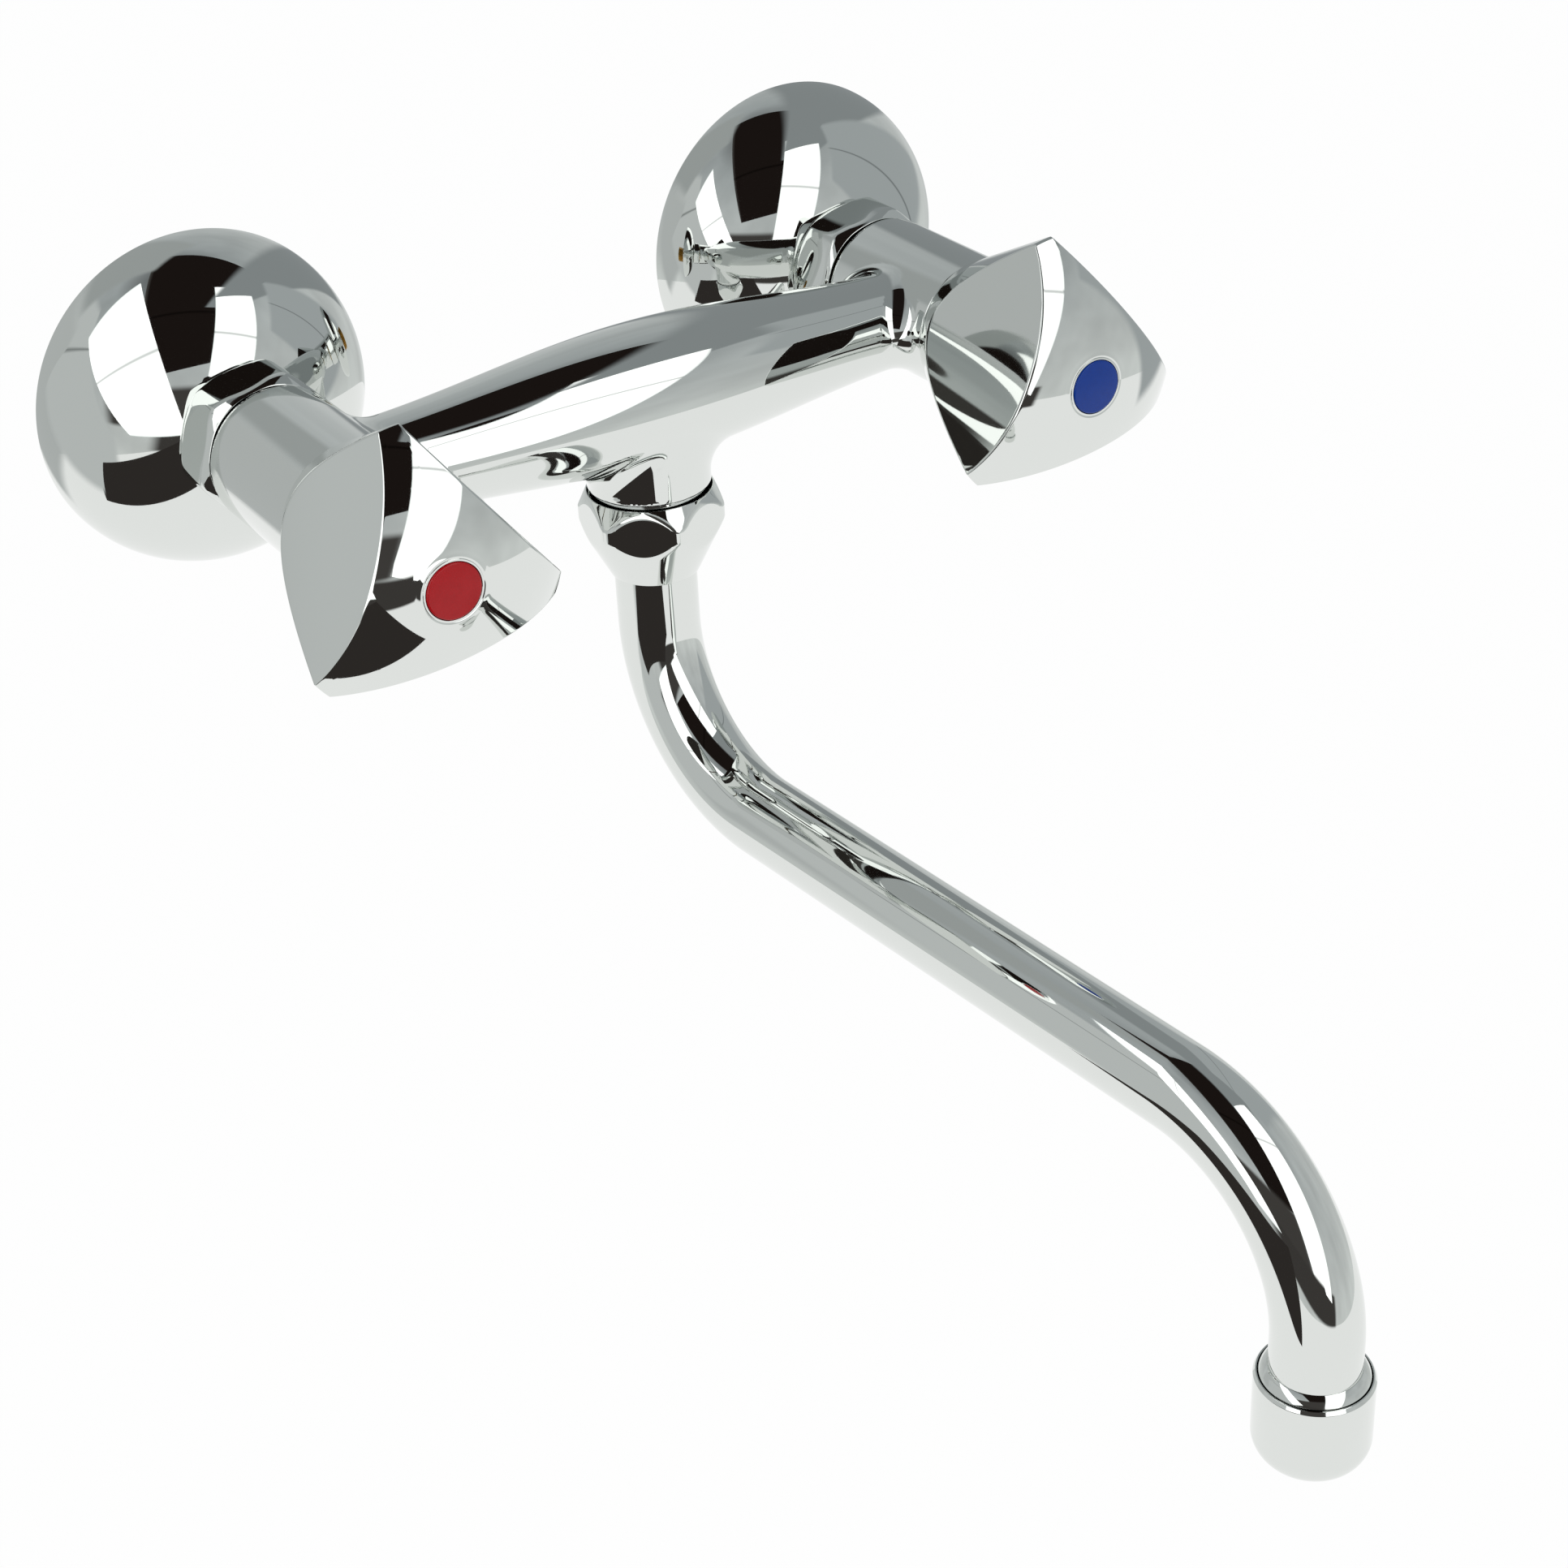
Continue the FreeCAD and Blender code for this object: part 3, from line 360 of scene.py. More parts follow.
# Stainless steel wire and screw stock, drawn and left bare: grey, with fine dull flecks.
drawnSteel = {"colour": "#B9BABA", "roughness": (0.24, 0.34), "fleckLength": 0.3, "fleckStrength": 0.4,
              "fleckDepth": 0.006}


def makeSteel():
    tree, position, finish = newMaterial("drawnStainlessSteel")
    flecks = noise(tree, position, drawnSteel["fleckLength"], 2.0)
    return finish({"Base Color": linearColour(drawnSteel["colour"]), "Metallic": 1.0,
                   "Roughness": spread(tree, flecks, *drawnSteel["roughness"]),
                   "Normal": relief(tree, flecks, drawnSteel["fleckStrength"], drawnSteel["fleckDepth"])})


finishes = {"chrome": makeChrome(), "brass": makeBrass(), "steel": makeSteel()}
for slotName in mouldings:
    finishes[slotName] = makeMoulding(slotName)
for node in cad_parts.values():
    for holder in node.material_slots:
        holder.material = finishes[holder.material.name.split(".")[0]]
print("finishes made:", len(finishes))


rosette = {"radius": 36.4, "depth": 26.4, "wall": 1.0, "holeRadius": 13.3505, "edge": 0.35, "holeEdge": 0.21,
           "steps": 48, "sides": 320}


def rosetteOutline():
    # Outer skin (R cos t, D sin t) from the wall up to the hole, and the same, one wall
    # thickness smaller, back down: an ellipse's quarter with a rolled edge at the wall.
    outline = []
    for inwards in (0.0, rosette["wall"]):
        radius, depth = rosette["radius"] - inwards, rosette["depth"] - inwards
        reach = math.acos(rosette["holeRadius"] / radius)
        skin = [(radius * math.cos(t), depth * math.sin(t)) for t in np.linspace(0, reach, rosette["steps"])]
        skin[0] = (*skin[0], rosette["edge"])
        skin[-1] = (*skin[-1], rosette["holeEdge"])
        outline += skin[::-1] if inwards else skin
    return roundedOutline(outline)


for side, x in valves.items():
    grid = onValve(turnedGrid(rosetteOutline(), rosette["sides"]), x)
    addPiece(side + "RosetteDome", [grid], "mixer", "chrome", (side + "_rosette",))
print("wall covers made")


def softLower(first, second, width):
    # The lower of two radii, with the crossing eased over the width: it subtracts
    # (width - gap) squared / (4 width) where the gap between them is under the width.
    gap = np.maximum(width - np.abs(first - second), 0.0)
    return np.minimum(first, second) - gap * gap / (4 * width)


def nutGrid(nut, *corners):
    # The turned blank's radius, cut to the distance of the nearest flat at each angle:
    # half the width across flats / cos(angle from that flat's middle).
    outline = denser(roundedOutline(named(nut, *corners)), nut["longest"])
    angle = fullTurn(nut["sides"])
    fromFlat = (angle - math.radians(nut["turn"] + 30) + math.pi / 6) % (math.pi / 3) - math.pi / 6
    flat = nut["flats"] / 2 / np.cos(fromFlat)
    radius = softLower(outline[:, 0, None], flat[None, :], nut["easing"])
    return aroundAxis(radius, angle, outline[:, 1, None])


inletNut = {"flats": 30.0, "cornerRadius": 16.5, "bevelRadius": 14.6, "back": 24.86, "bevelBack": 26.76,
            "bevelFront": 36.46, "front": 38.36, "turn": 12.0, "easing": 1.3, "bore": 13.3505,
            "lipBore": 10.9, "lipOut": 37.3, "longest": 0.5, "sides": 576}
grid = nutGrid(
    inletNut, ("bore", "back", 0.25), ("bevelRadius", "back", 0.4), ("cornerRadius", "bevelBack", 2.0),
    ("cornerRadius", "bevelFront", 2.0), ("bevelRadius", "front", 0.4), ("lipBore", "front", 0.25),
    ("lipBore", "lipOut"), ("bore", "lipOut"))
for side, x in valves.items():
    addPiece(side + "InletNut", [onValve(grid, x)], "mixer", "chrome", (side + "_inlet_nut",))

outletNut = {"flats": 28.4, "turn": 22.0, "top": -21.5, "rimRadius": 13.78, "cornerRadius": 15.9,
             "shoulderTop": -26.0, "shoulderBottom": -29.0, "bottom": -40.9, "bottomRadius": 9.75,
             "easing": 0.5, "mouth": 9.25, "seat": -33.5, "pocket": 12.0,
             "threadBore": 13.53, "threadEnd": -29.2, "longest": 0.42, "sides": 528}
grid = nutGrid(
    outletNut, ("mouth", "bottom", 0.15), ("bottomRadius", "bottom", 0.3),
    ("cornerRadius", "shoulderBottom", 2.0), ("cornerRadius", "shoulderTop", 2.0), ("rimRadius", "top", 0.12),
    ("threadBore", "top", 0.1), ("threadBore", "threadEnd"), ("pocket", "threadEnd"), ("pocket", "seat"),
    ("mouth", "seat"))
addPiece("outletNutChrome", [onOutlet(grid)], "mixer", "chrome", ("outlet_nut",))
print("nuts made")


# The casting: two valve housings, the spindle shaped cross arm and the outlet boss. Passages are
# (radius, start, end) out from the wall, the seat's lip (inner radius, outer radius, start, end),
# and the ring in the groove under the boss (inner radius, outer radius, top, bottom).
mixer = {"housingRadius": 15.0, "housingBack": 39.56, "housingFront": 75.26, "backRound": 0.7,
         "frontRound": 0.8, "armRadii": ((0.0, 15.0), (31.0, 13.0), (50.0, 11.1), (75.0, 10.2)),
         "armFillet": 6.0, "bossRadius": 13.4, "bossFillet": 7.0, "bossEdge": -20.75, "bossEdgeRound": 0.75,
         "bossReach": 45.0, "neckRadius": 12.35, "neckTop": -12.0, "neckBottom": -29.0, "neckRound": 0.4,
         "neckRing": (11.8, 12.75, -20.2, -28.8), "ringSides": 224, "socketRadius": 10.9, "socketTop": -10.0,
         "crossBore": 6.0, "seatLip": (5.5, 6.9, 51.0, 51.96),
         "passages": ((9.05, 30.0, 48.16), (5.5, 48.0, 52.5), (9.7, 51.16, 65.0), (10.5475, 64.96, 80.0)),
         "low": (-91, -77, -31), "high": (91, -38, 16.5), "cell": 0.75}


def filletJoin(first, second, firstNormal, secondNormal, radius):
    # The lower of two distances, with a ball of this radius rolled into the corner between the two
    # surfaces: where the ball's centre sees the point between both, the distance is
    # radius - |point - centre|, which for normals at cosine c and u, v = radius - distances is
    # radius - sqrt((u u + v v - 2 u v c) / (1 - c c)).
    cosine = np.clip(np.sum(firstNormal * secondNormal, axis=-1), -0.999, 0.999)
    u = radius - first
    v = radius - second
    between = (u > v * cosine) & (v > u * cosine)
    squared = (u * u + v * v - 2 * u * v * cosine) / (1 - cosine * cosine)
    ball = radius - np.sqrt(np.maximum(squared, 0.0))
    return np.where(between, np.minimum(ball, np.minimum(first, second)), np.minimum(first, second))


def roundedRod(across, along, radius, start, end, startRound, endRound):
    # Distance to a rod whose end edges are rounded: the distance to a rod smaller by the rounding
    # all round, less the rounding.
    rounding = np.where(along < (start + end) / 2, startRound, endRound)
    side = across - radius + rounding
    face = np.maximum(start - along, along - end) + rounding
    outside = np.sqrt(np.maximum(side, 0.0) ** 2 + np.maximum(face, 0.0) ** 2)
    return outside + np.minimum(np.maximum(side, face), 0.0) - rounding


# Even polynomial through the arm's four radii: radius = sum of c[k] x to the power 2k.
armPlaces = np.array(mixer["armRadii"])
armPowers = np.linalg.solve(armPlaces[:, :1] ** (2 * np.arange(4)), armPlaces[:, 1])


def mixerDistance(points):
    # Below zero in the metal. x across, out = -y, z up.
    x, out, z = points[..., 0], -points[..., 1], points[..., 2]
    reach = np.abs(x)
    inArm = np.minimum(reach, inletX)
    armRadius = sum(c * inArm ** (2 * k) for k, c in enumerate(armPowers))
    slope = sum(2 * k * c * inArm ** (2 * k - 1) for k, c in enumerate(armPowers) if k) * np.sign(x)
    fromArm = np.maximum(np.hypot(out - outletOut, z), 1e-6)
    steep = np.sqrt(1 + slope * slope)
    arm = np.maximum((fromArm - armRadius) / steep, reach - inletX)
    armNormal = np.stack([-slope, (out - outletOut) / fromArm, z / fromArm], axis=-1) / steep[..., None]

    fromValve = np.maximum(np.hypot(reach - inletX, z), 1e-6)
    housing = roundedRod(fromValve, out, mixer["housingRadius"], mixer["housingBack"], mixer["housingFront"],
                         mixer["backRound"], mixer["frontRound"])
    housingNormal = np.stack([(reach - inletX) * np.sign(x), 0 * x, z], axis=-1) / fromValve[..., None]
    body = filletJoin(arm, housing, armNormal, housingNormal, mixer["armFillet"])

    fromOutlet = np.maximum(np.hypot(x, out - outletOut), 1e-6)
    boss = roundedRod(fromOutlet, z, mixer["bossRadius"], mixer["bossEdge"], 0.0, mixer["bossEdgeRound"], 0.4)
    bossNormal = np.stack([x, out - outletOut, 0 * x], axis=-1) / fromOutlet[..., None]
    joined = filletJoin(body, boss, armNormal, bossNormal, mixer["bossFillet"])
    neck = roundedRod(fromOutlet, z, mixer["neckRadius"], mixer["neckBottom"], mixer["neckTop"],
                      mixer["neckRound"], mixer["neckRound"])
    body = np.minimum(np.where(reach < mixer["bossReach"], joined, body), neck)

    hollow = np.maximum(fromArm - mixer["crossBore"], reach - inletX)
    socket = np.maximum(fromOutlet - mixer["socketRadius"], z - mixer["socketTop"])
    hollow = np.minimum(hollow, np.minimum(socket, np.maximum(fromOutlet - mixer["crossBore"], z)))
    for radius, start, end in mixer["passages"]:
        hollow = np.minimum(hollow, np.maximum(fromValve - radius, np.maximum(start - out, out - end)))
    inner, outer, start, end = mixer["seatLip"]
    lip = np.maximum(np.maximum(inner - fromValve, fromValve - outer), np.maximum(start - out, out - end))
    return np.maximum(body, -np.maximum(hollow, -lip))


def slopeOf(distance, points, step=0.02):
    # Central differences along x, y and z.
    rises = [distance(points + along) - distance(points - along) for along in np.eye(3) * step]
    return np.stack(rises, axis=-1) / (2 * step)


def surfaceOf(distance, low, high, cell):
    # A net over the cells that the surface passes through: each such cell has one point, the mean
    # of where its edges cross zero, and each crossed edge joins the four cells around it. The
    # points then slide down the slope of the distance until they lie on the surface itself.
    axes = [np.arange(a, b + cell, cell) for a, b in zip(low, high)]
    lattice = np.stack(np.meshgrid(*axes, indexing="ij"), axis=-1)
    value = distance(lattice)
    inside = value < 0
    total = np.zeros((*value.shape, 3))
    count = np.zeros(value.shape)
    crossings = []
    for axis in range(3):
        step, u, v = np.roll(np.eye(3, dtype=int), -axis, axis=0)
        crossed = np.argwhere(np.diff(inside, axis=axis))
        first = value[tuple(crossed.T)]
        second = value[tuple((crossed + step).T)]
        share = first / (first - second)
        place = lattice[tuple(crossed.T)] + share[:, None] * step * cell
        around = [crossed - u - v, crossed - v, crossed, crossed - u]
        for corner in around:
            np.add.at(total, tuple(corner.T), place)
            np.add.at(count, tuple(corner.T), 1)
        crossings.append((around, inside[tuple(crossed.T)]))
    used = count > 0
    number = np.cumsum(used.ravel()).reshape(used.shape) - 1
    points = total[used] / count[used][:, None]
    faces = []
    for around, outwards in crossings:
        quads = np.stack([number[tuple(corner.T)] for corner in around], axis=-1)
        faces.append(np.where(outwards[:, None], quads, quads[:, ::-1]))
    for _ in range(6):
        slope = slopeOf(distance, points)
        points = points - np.clip(distance(points) / np.maximum(np.sum(slope * slope, axis=1), 0.2),
                                  -cell / 2, cell / 2)[:, None] * slope
    return points, np.concatenate(faces)


points, quads = surfaceOf(mixerDistance, mixer["low"], mixer["high"], mixer["cell"])
placePiece("mixerBodyChrome", points, quads, np.zeros((0, 3), int), slopeOf(mixerDistance, points), "mixer",
           "chrome", ("mixer_body",))
inner, outer, top, bottom = mixer["neckRing"]
ring = roundedOutline([(inner, bottom), (outer, bottom, 0.2), (outer, top), (inner, top)])
addPiece("outletNeckRing", [onOutlet(turnedGrid(ring, mixer["ringSides"]))], "mixer", "chrome")
print("casting made:", len(quads), "faces")


spout = {"radius": 9.0, "wall": 1.2, "top": -12.0, "dropBottom": -53.1, "reach": 196.4, "slope": 1.98,
         "firstBend": 36.3, "secondBend": 38.5, "aeratorTop": -140.2, "sleeveLength": 9.7,
         "bendStep": 1.0, "flattening": 0.015, "dropSteps": 20, "runSteps": 40, "endSteps": 16, "sides": 160}


def spoutPath():
    # Places and travel directions along the tube's middle line: down, a bend, the sloping run,
    # a bend back, and down. Each bend is centre + radius * (cos, sin) of the travelled angle.
    slope = math.radians(spout["slope"])
    sweep = math.pi / 2 - slope
    radii = spout["firstBend"], spout["secondBend"]
    bendOut = 1 - math.sin(slope)
    run = (spout["reach"] - sum(radii) * bendOut) / math.cos(slope)
    count = int(math.degrees(sweep) / spout["bendStep"]) + 1
    turn = np.linspace(0, sweep, count)
    start = np.array([0.0, spout["top"]])
    bendStart = np.array([0.0, spout["dropBottom"]])
    drop = np.linspace(start, bendStart, spout["dropSteps"])[:-1]
    first = bendStart + radii[0] * np.stack([1 - np.cos(turn), -np.sin(turn)], axis=1)
    away = np.array([math.cos(slope), -math.sin(slope)])
    runEnd = first[-1] + away * run
    middle = np.linspace(first[-1], runEnd, spout["runSteps"])[1:-1]
    second = runEnd + radii[1] * np.stack([
        np.sin(turn + slope) - math.sin(slope), np.cos(turn + slope) - math.cos(slope)], axis=1)
    end = np.array([spout["reach"], spout["aeratorTop"] - spout["sleeveLength"]])
    last = np.linspace(second[-1], end, spout["endSteps"])[1:]
    places = np.concatenate([drop, first, middle, second, last])
    heading = np.concatenate([np.full(len(drop), 0.0), turn, np.full(len(middle), sweep),
                              sweep - turn, np.full(len(last), 0.0)])
    bent = np.sin(turn * math.pi / sweep)
    ovalness = np.concatenate([np.zeros(len(drop)), bent, np.zeros(len(middle)), bent, np.zeros(len(last))])
    return places, heading, ovalness


def spoutGrid(radius):
    # A circle carried along the path: place + radius * (cos a across + sin a in the bend's plane),
    # the second part a little less in the bends, where the tube flattens.
    places, heading, ovalness = spoutPath()
    angle = fullTurn(spout["sides"])
    across = radius * np.cos(angle)[None, :]
    inPlane = radius * np.sin(angle)[None, :] * (1 - spout["flattening"] * ovalness[:, None])
    out = places[:, 0, None] + inPlane * np.cos(heading)[:, None]
    up = places[:, 1, None] + inPlane * np.sin(heading)[:, None]
    return onSpout(np.stack([np.broadcast_to(across, out.shape), -out, up], axis=-1))


outside = spoutGrid(spout["radius"])
inside = spoutGrid(spout["radius"] - spout["wall"])
addPiece("spoutTubeChrome", [np.concatenate([outside, inside[::-1]])], "spout", "chrome", ("spout_tube",))


def atSpoutEnd(outline, sides):
    return onSpout(turnedGrid(outline, sides) + np.array([0.0, -spout["reach"], 0.0]))


sleeve = {"threadRadius": 10.7, "rise": 2.1, "hollow": 0.18, "clearance": 0.05, "steps": 14, "sides": 192}
top = spout["aeratorTop"] + sleeve["rise"]
bottom = spout["aeratorTop"] - spout["sleeveLength"]
flare = bowedArc((sleeve["threadRadius"], spout["aeratorTop"]), (spout["radius"] + sleeve["clearance"], top),
                 -sleeve["hollow"], sleeve["steps"])
outline = np.concatenate([[(spout["radius"], bottom), (sleeve["threadRadius"], bottom)], flare,
                          [(spout["radius"], top)]])
addPiece("spoutEndSleeveChrome", [atSpoutEnd(outline, sleeve["sides"])], "spout", "chrome",
         ("spout_end_sleeve",))

aerator = {"top": -140.2, "bevelTop": -140.95, "rimRadius": 11.2, "radius": 11.65, "bottomRound": 6.4,
           "bottom": -160.9, "mouth": 8.0, "bore": 10.9, "seatTop": -151.8, "seatRadius": 10.3,
           "seatBottom": -153.8, "steps": 24, "sides": 224}
flatRadius = aerator["radius"] - aerator["bottomRound"]
lowest = -math.acos((aerator["mouth"] - flatRadius) / aerator["bottomRound"])
corners = [(flatRadius + aerator["bottomRound"] * math.cos(angle),
            aerator["bottom"] + aerator["bottomRound"] * (1 + math.sin(angle)))
           for angle in np.linspace(lowest, 0, aerator["steps"])]
corners[0] = (*corners[0], 0.12)
outline = roundedOutline(corners + named(
    aerator, ("radius", "bevelTop", 0.3), ("rimRadius", "top", 0.15), ("bore", "top", 0.1),
    ("bore", "seatTop"), ("seatRadius", "seatTop"), ("seatRadius", "seatBottom"), ("mouth", "seatBottom")))
addPiece("aeratorHousingChrome", [atSpoutEnd(outline, aerator["sides"])], "spout", "chrome",
         ("aerator_housing",))
print("spout made")


# Two brass pieces offset from each other, so that turning one sets the distance between the inlets.
connector = {"wallRadius": 10.4775, "wallBore": 6.5, "wallEnd": -17.0, "wallTip": 9.2775,
             "wallThreadFrom": -16.0, "wallThreadTo": 0.4, "shoulder": 0.8, "shoulderRadius": 9.5775,
             "offset": 6.0, "collarRadius": 12.6, "collarEnd": 7.0, "unionRadius": 13.2205, "unionBore": 9.0,
             "neckRadius": 12.6205, "neckStart": 5.5, "neckEnd": 14.4, "unionThreadFrom": 15.0,
             "unionThreadTo": 32.2, "unionTip": 12.3205, "unionEnd": 33.0, "pitch": 1.814,
             "threadDepth": 1.1, "rowsPerTurn": 12, "fade": 1.6, "sides": 120}


def threadGrid(radius, start, end):
    # r = major radius - depth * (1 - cos(2 pi (height / pitch - angle / 2 pi))) / 2: the rounded
    # groove of a pipe thread, which fades in over a length at both ends.
    rows = int((end - start) / connector["pitch"] * connector["rowsPerTurn"]) + 1
    height = np.linspace(start, end, rows)[:, None]
    angle = fullTurn(connector["sides"])[None, :]
    groove = (1 - np.cos(2 * math.pi * height / connector["pitch"] - angle)) / 2
    inFromEnds = np.clip(np.minimum(height - start, end - height) / connector["fade"], 0, 1)
    return aroundAxis(radius - connector["threadDepth"] * groove * inFromEnds, angle, height)


def connectorGrids():
    def turned(*corners):
        return turnedGrid(roundedOutline(named(connector, *corners)), connector["sides"])

    wallPart = np.concatenate([
        turned(("wallBore", "wallEnd"), ("wallTip", "wallEnd")),
        threadGrid(connector["wallRadius"], connector["wallThreadFrom"], connector["wallThreadTo"]),
        turned(("shoulderRadius", "shoulder"), ("collarRadius", "shoulder", 0.4),
               ("collarRadius", "collarEnd", 0.4), ("wallBore", "collarEnd"))])
    unionPart = np.concatenate([
        turned(("unionBore", "neckStart"), ("neckRadius", "neckStart"), ("neckRadius", "neckEnd")),
        threadGrid(connector["unionRadius"], connector["unionThreadFrom"], connector["unionThreadTo"]),
        turned(("unionTip", "unionEnd"), ("unionBore", "unionEnd"))])
    return wallPart + np.array([0.0, -connector["offset"], 0.0]), unionPart


for side, x in valves.items():
    grids = [onValve(grid, x) for grid in connectorGrids()]
    addPiece(side + "ConnectorThreaded", grids, "mixer", "brass", (side + "_eccentric",))
print("connectors made")


# A three cornered knob: a domed face cut by three flat facets, with a cone behind them, hollow at
# the back round the hub that grips the spindle.
knob = {"turns": {"left": 7.5, "right": 8.75}, "faceOut": 116.56, "backOut": 75.96, "cornerOut": 104.66,
        "cornerRadius": 30.1, "backRadius": 15.9, "facetDistance": 16.8, "facetTilt": 4.4, "facetMiddle": 150,
        "domeRise": 2.2, "lipRadius": 6.4, "flareRadius": 7.9, "flareOut": 116.34, "flareRise": -0.02,
        "seatRadius": 5.87, "seatOut": 114.96, "edgeEasing": 0.6, "coneMargin": 0.6, "cavityRadius": 14.4,
        "cavityOut": 109.3, "hubRadius": 7.0, "hubOut": 93.06, "gripRadius": 4.02, "gripEnd": 106.36,
        "screwRadius": 2.05, "wellOut": 110.56, "wellRadius": 4.3, "domeSteps": 52, "edgeSteps": 9,
        "facetSteps": 12, "coneSteps": 18, "flareSteps": 6, "innerStep": 22.5, "sides": 540}


def easedRamp(along, reach):
    # 0 before -reach, the distance itself after reach, and (s + reach) squared / (4 reach) between.
    inner = (along + reach) ** 2 / (4 * reach)
    return np.where(along < -reach, 0.0, np.where(along > reach, along, inner))


def knobSkin():
    # At each angle round the axis the outline runs over the dome to where the facet's plane cuts
    # it, down the facet, and on down the cone behind. Both corners are eased by the ramp above,
    # so at the three corners of the knob, where the facet has no length, the rim is eased too.
    tilt = math.radians(knob["facetTilt"])
    tipAngle = math.acos(knob["facetDistance"] / math.cos(tilt) / knob["cornerRadius"])
    facets = [math.radians(knob["facetMiddle"] + 120 * k) for k in range(3)]
    tips = np.array([facet + reach for facet in facets for reach in (-tipAngle, tipAngle)])
    angle = np.sort(np.concatenate([fullTurn(knob["sides"]), tips % (2 * math.pi)]))
    fromFacet = (angle - facets[0] + math.pi / 3) % (2 * math.pi / 3) - math.pi / 3

    def facetRadius(out):
        return (knob["facetDistance"] - (out - knob["cornerOut"]) * math.sin(tilt)) / (
            math.cos(tilt) * np.cos(fromFacet))

    flare = np.array([knob["flareRadius"], knob["flareOut"]])
    rim = np.array([knob["cornerRadius"], knob["cornerOut"]])
    back = np.array([knob["backRadius"], knob["backOut"]])
    centre, radius, first, last = arcThrough(flare, rim, knob["domeRise"])
    low = np.full(len(angle), first)
    high = np.full(len(angle), last)
    for _ in range(40):  # halves the arc until the dome meets the facet's plane
        middle = (low + high) / 2
        place = alongArc(centre, radius, middle)
        beyond = place[:, 0] > facetRadius(place[:, 1])
        high = np.where(beyond, middle, high)
        low = np.where(beyond, low, middle)
    meeting = high
    frontCorner = alongArc(centre, radius, meeting)
    lean = (rim[0] - back[0]) / (rim[1] - back[1])
    slant = math.tan(tilt) / np.cos(fromFacet)
    atCone = back[0] + lean * (knob["cornerOut"] - back[1])
    gap = atCone - facetRadius(knob["cornerOut"])
    drop = np.maximum(gap / (lean + slant), 0.0)
    backCorner = np.stack([atCone - lean * drop, knob["cornerOut"] - drop], axis=1)
    facetLength = np.linalg.norm(backCorner - frontCorner, axis=1)
    easing = knob["edgeEasing"]
    domeHeading = np.stack([-np.sin(meeting), np.cos(meeting)], axis=1) * np.sign(last - first)
    facetHeading = np.stack([slant, -np.ones_like(slant)], axis=1)
    facetHeading /= np.linalg.norm(facetHeading, axis=1, keepdims=True)
    coneHeading = (back - rim) / np.linalg.norm(back - rim)
    coneLength = np.linalg.norm(back - backCorner, axis=1)
    domeLength = radius * np.abs(meeting - first)
    half = np.minimum(easing, facetLength / 2)
    stops = [(-domeLength, -easing, knob["domeSteps"]),
             (-easing, half, knob["edgeSteps"]),
             (half, facetLength - half, knob["facetSteps"]),
             (facetLength - half, facetLength + easing, knob["edgeSteps"]),
             (facetLength + easing, facetLength + coneLength - knob["coneMargin"], knob["coneSteps"])]
    along = np.concatenate([start + (end - start) * np.linspace(0, 1, steps)[:-1, None]
                            for start, end, steps in stops])
    onDome = np.minimum(along, 0.0) / radius * np.sign(last - first) + meeting
    place = alongArc(centre, radius, onDome) + np.maximum(along, 0.0)[..., None] * domeHeading
    place += easedRamp(along, easing)[..., None] * (facetHeading - domeHeading)
    place += easedRamp(along - facetLength, easing)[..., None] * (coneHeading - facetHeading)

    lip = bowedArc((knob["flareRadius"], knob["flareOut"]), (knob["lipRadius"], knob["faceOut"]),
                   -knob["flareRise"], knob["flareSteps"])[::-1]
    face = roundedOutline(named(knob, ("seatRadius", "seatOut"), ("seatRadius", "faceOut", 0.1),
                                ("lipRadius", "faceOut", 0.12)))
    front = np.concatenate([face[:-1], lip[1:-1]])
    # The first corner behind only gives the cone's heading, so it is left out again.
    behind = roundedOutline([(*(back - coneHeading), 0.0), (*back, 0.3)] + named(
        knob, ("cavityRadius", "backOut", 0.3), ("cavityRadius", "cavityOut", 1.0),
        ("hubRadius", "cavityOut", 0.5), ("hubRadius", "hubOut", 0.3), ("gripRadius", "hubOut", 0.2),
        ("gripRadius", "gripEnd"), ("screwRadius", "gripEnd"), ("screwRadius", "wellOut"),
        ("wellRadius", "wellOut"), ("wellRadius", "seatOut")), knob["innerStep"])[1:]
    front, behind = [np.repeat(part[:, None, :], len(angle), axis=1) for part in (front, behind)]
    radius, out = np.moveaxis(np.concatenate([front, place, behind]), -1, 0)
    return aroundAxis(radius, angle, out)


disc = {"radius": 5.75, "front": 116.83, "crown": 0.22, "edge": 0.4, "back": 114.96, "steps": 14,
        "edgeSteps": 7, "sides": 160}


def discOutline():
    # A shallow crown: front + crown * (1 - (r / R) squared), down over a rounded edge.
    flatRadius = disc["radius"] - disc["edge"]
    radii = np.linspace(flatRadius, 0, disc["steps"])
    crown = [(r, disc["front"] + disc["crown"] * (1 - (r / flatRadius) ** 2)) for r in radii]
    quarter = np.arange(disc["edgeSteps"]) / disc["edgeSteps"] * math.pi / 2
    edge = [(flatRadius + disc["edge"] * math.cos(t), disc["front"] - disc["edge"] * (1 - math.sin(t)))
            for t in quarter]
    return np.array([(0.0, disc["back"]), (disc["radius"], disc["back"])] + edge + crown)


for side, colour in (("left", "red_plastic"), ("right", "blue_plastic")):
    turn = knob["turns"][side]
    addPiece(side + "Knob", [onValve(knobSkin(), valves[side], turn)], side + "_knob", "chrome",
             (side + "_handle",))
    grid = onValve(turnedGrid(discOutline(), disc["sides"]), valves[side], turn)
    addPiece(side + "IndexDisc", [grid], side + "_knob", colour, (side + "_index_disc",), closedRows=False)
print("handles made")


camera = {"place": (-0.27846, -0.55803, 0.24186), "azimuth": -31.692, "elevation": 30.722,
          "roll": -2.963, "focalPixels": 3602.29, "imagePixels": 1932, "sensor": 36.0, "clipStart": 0.01}


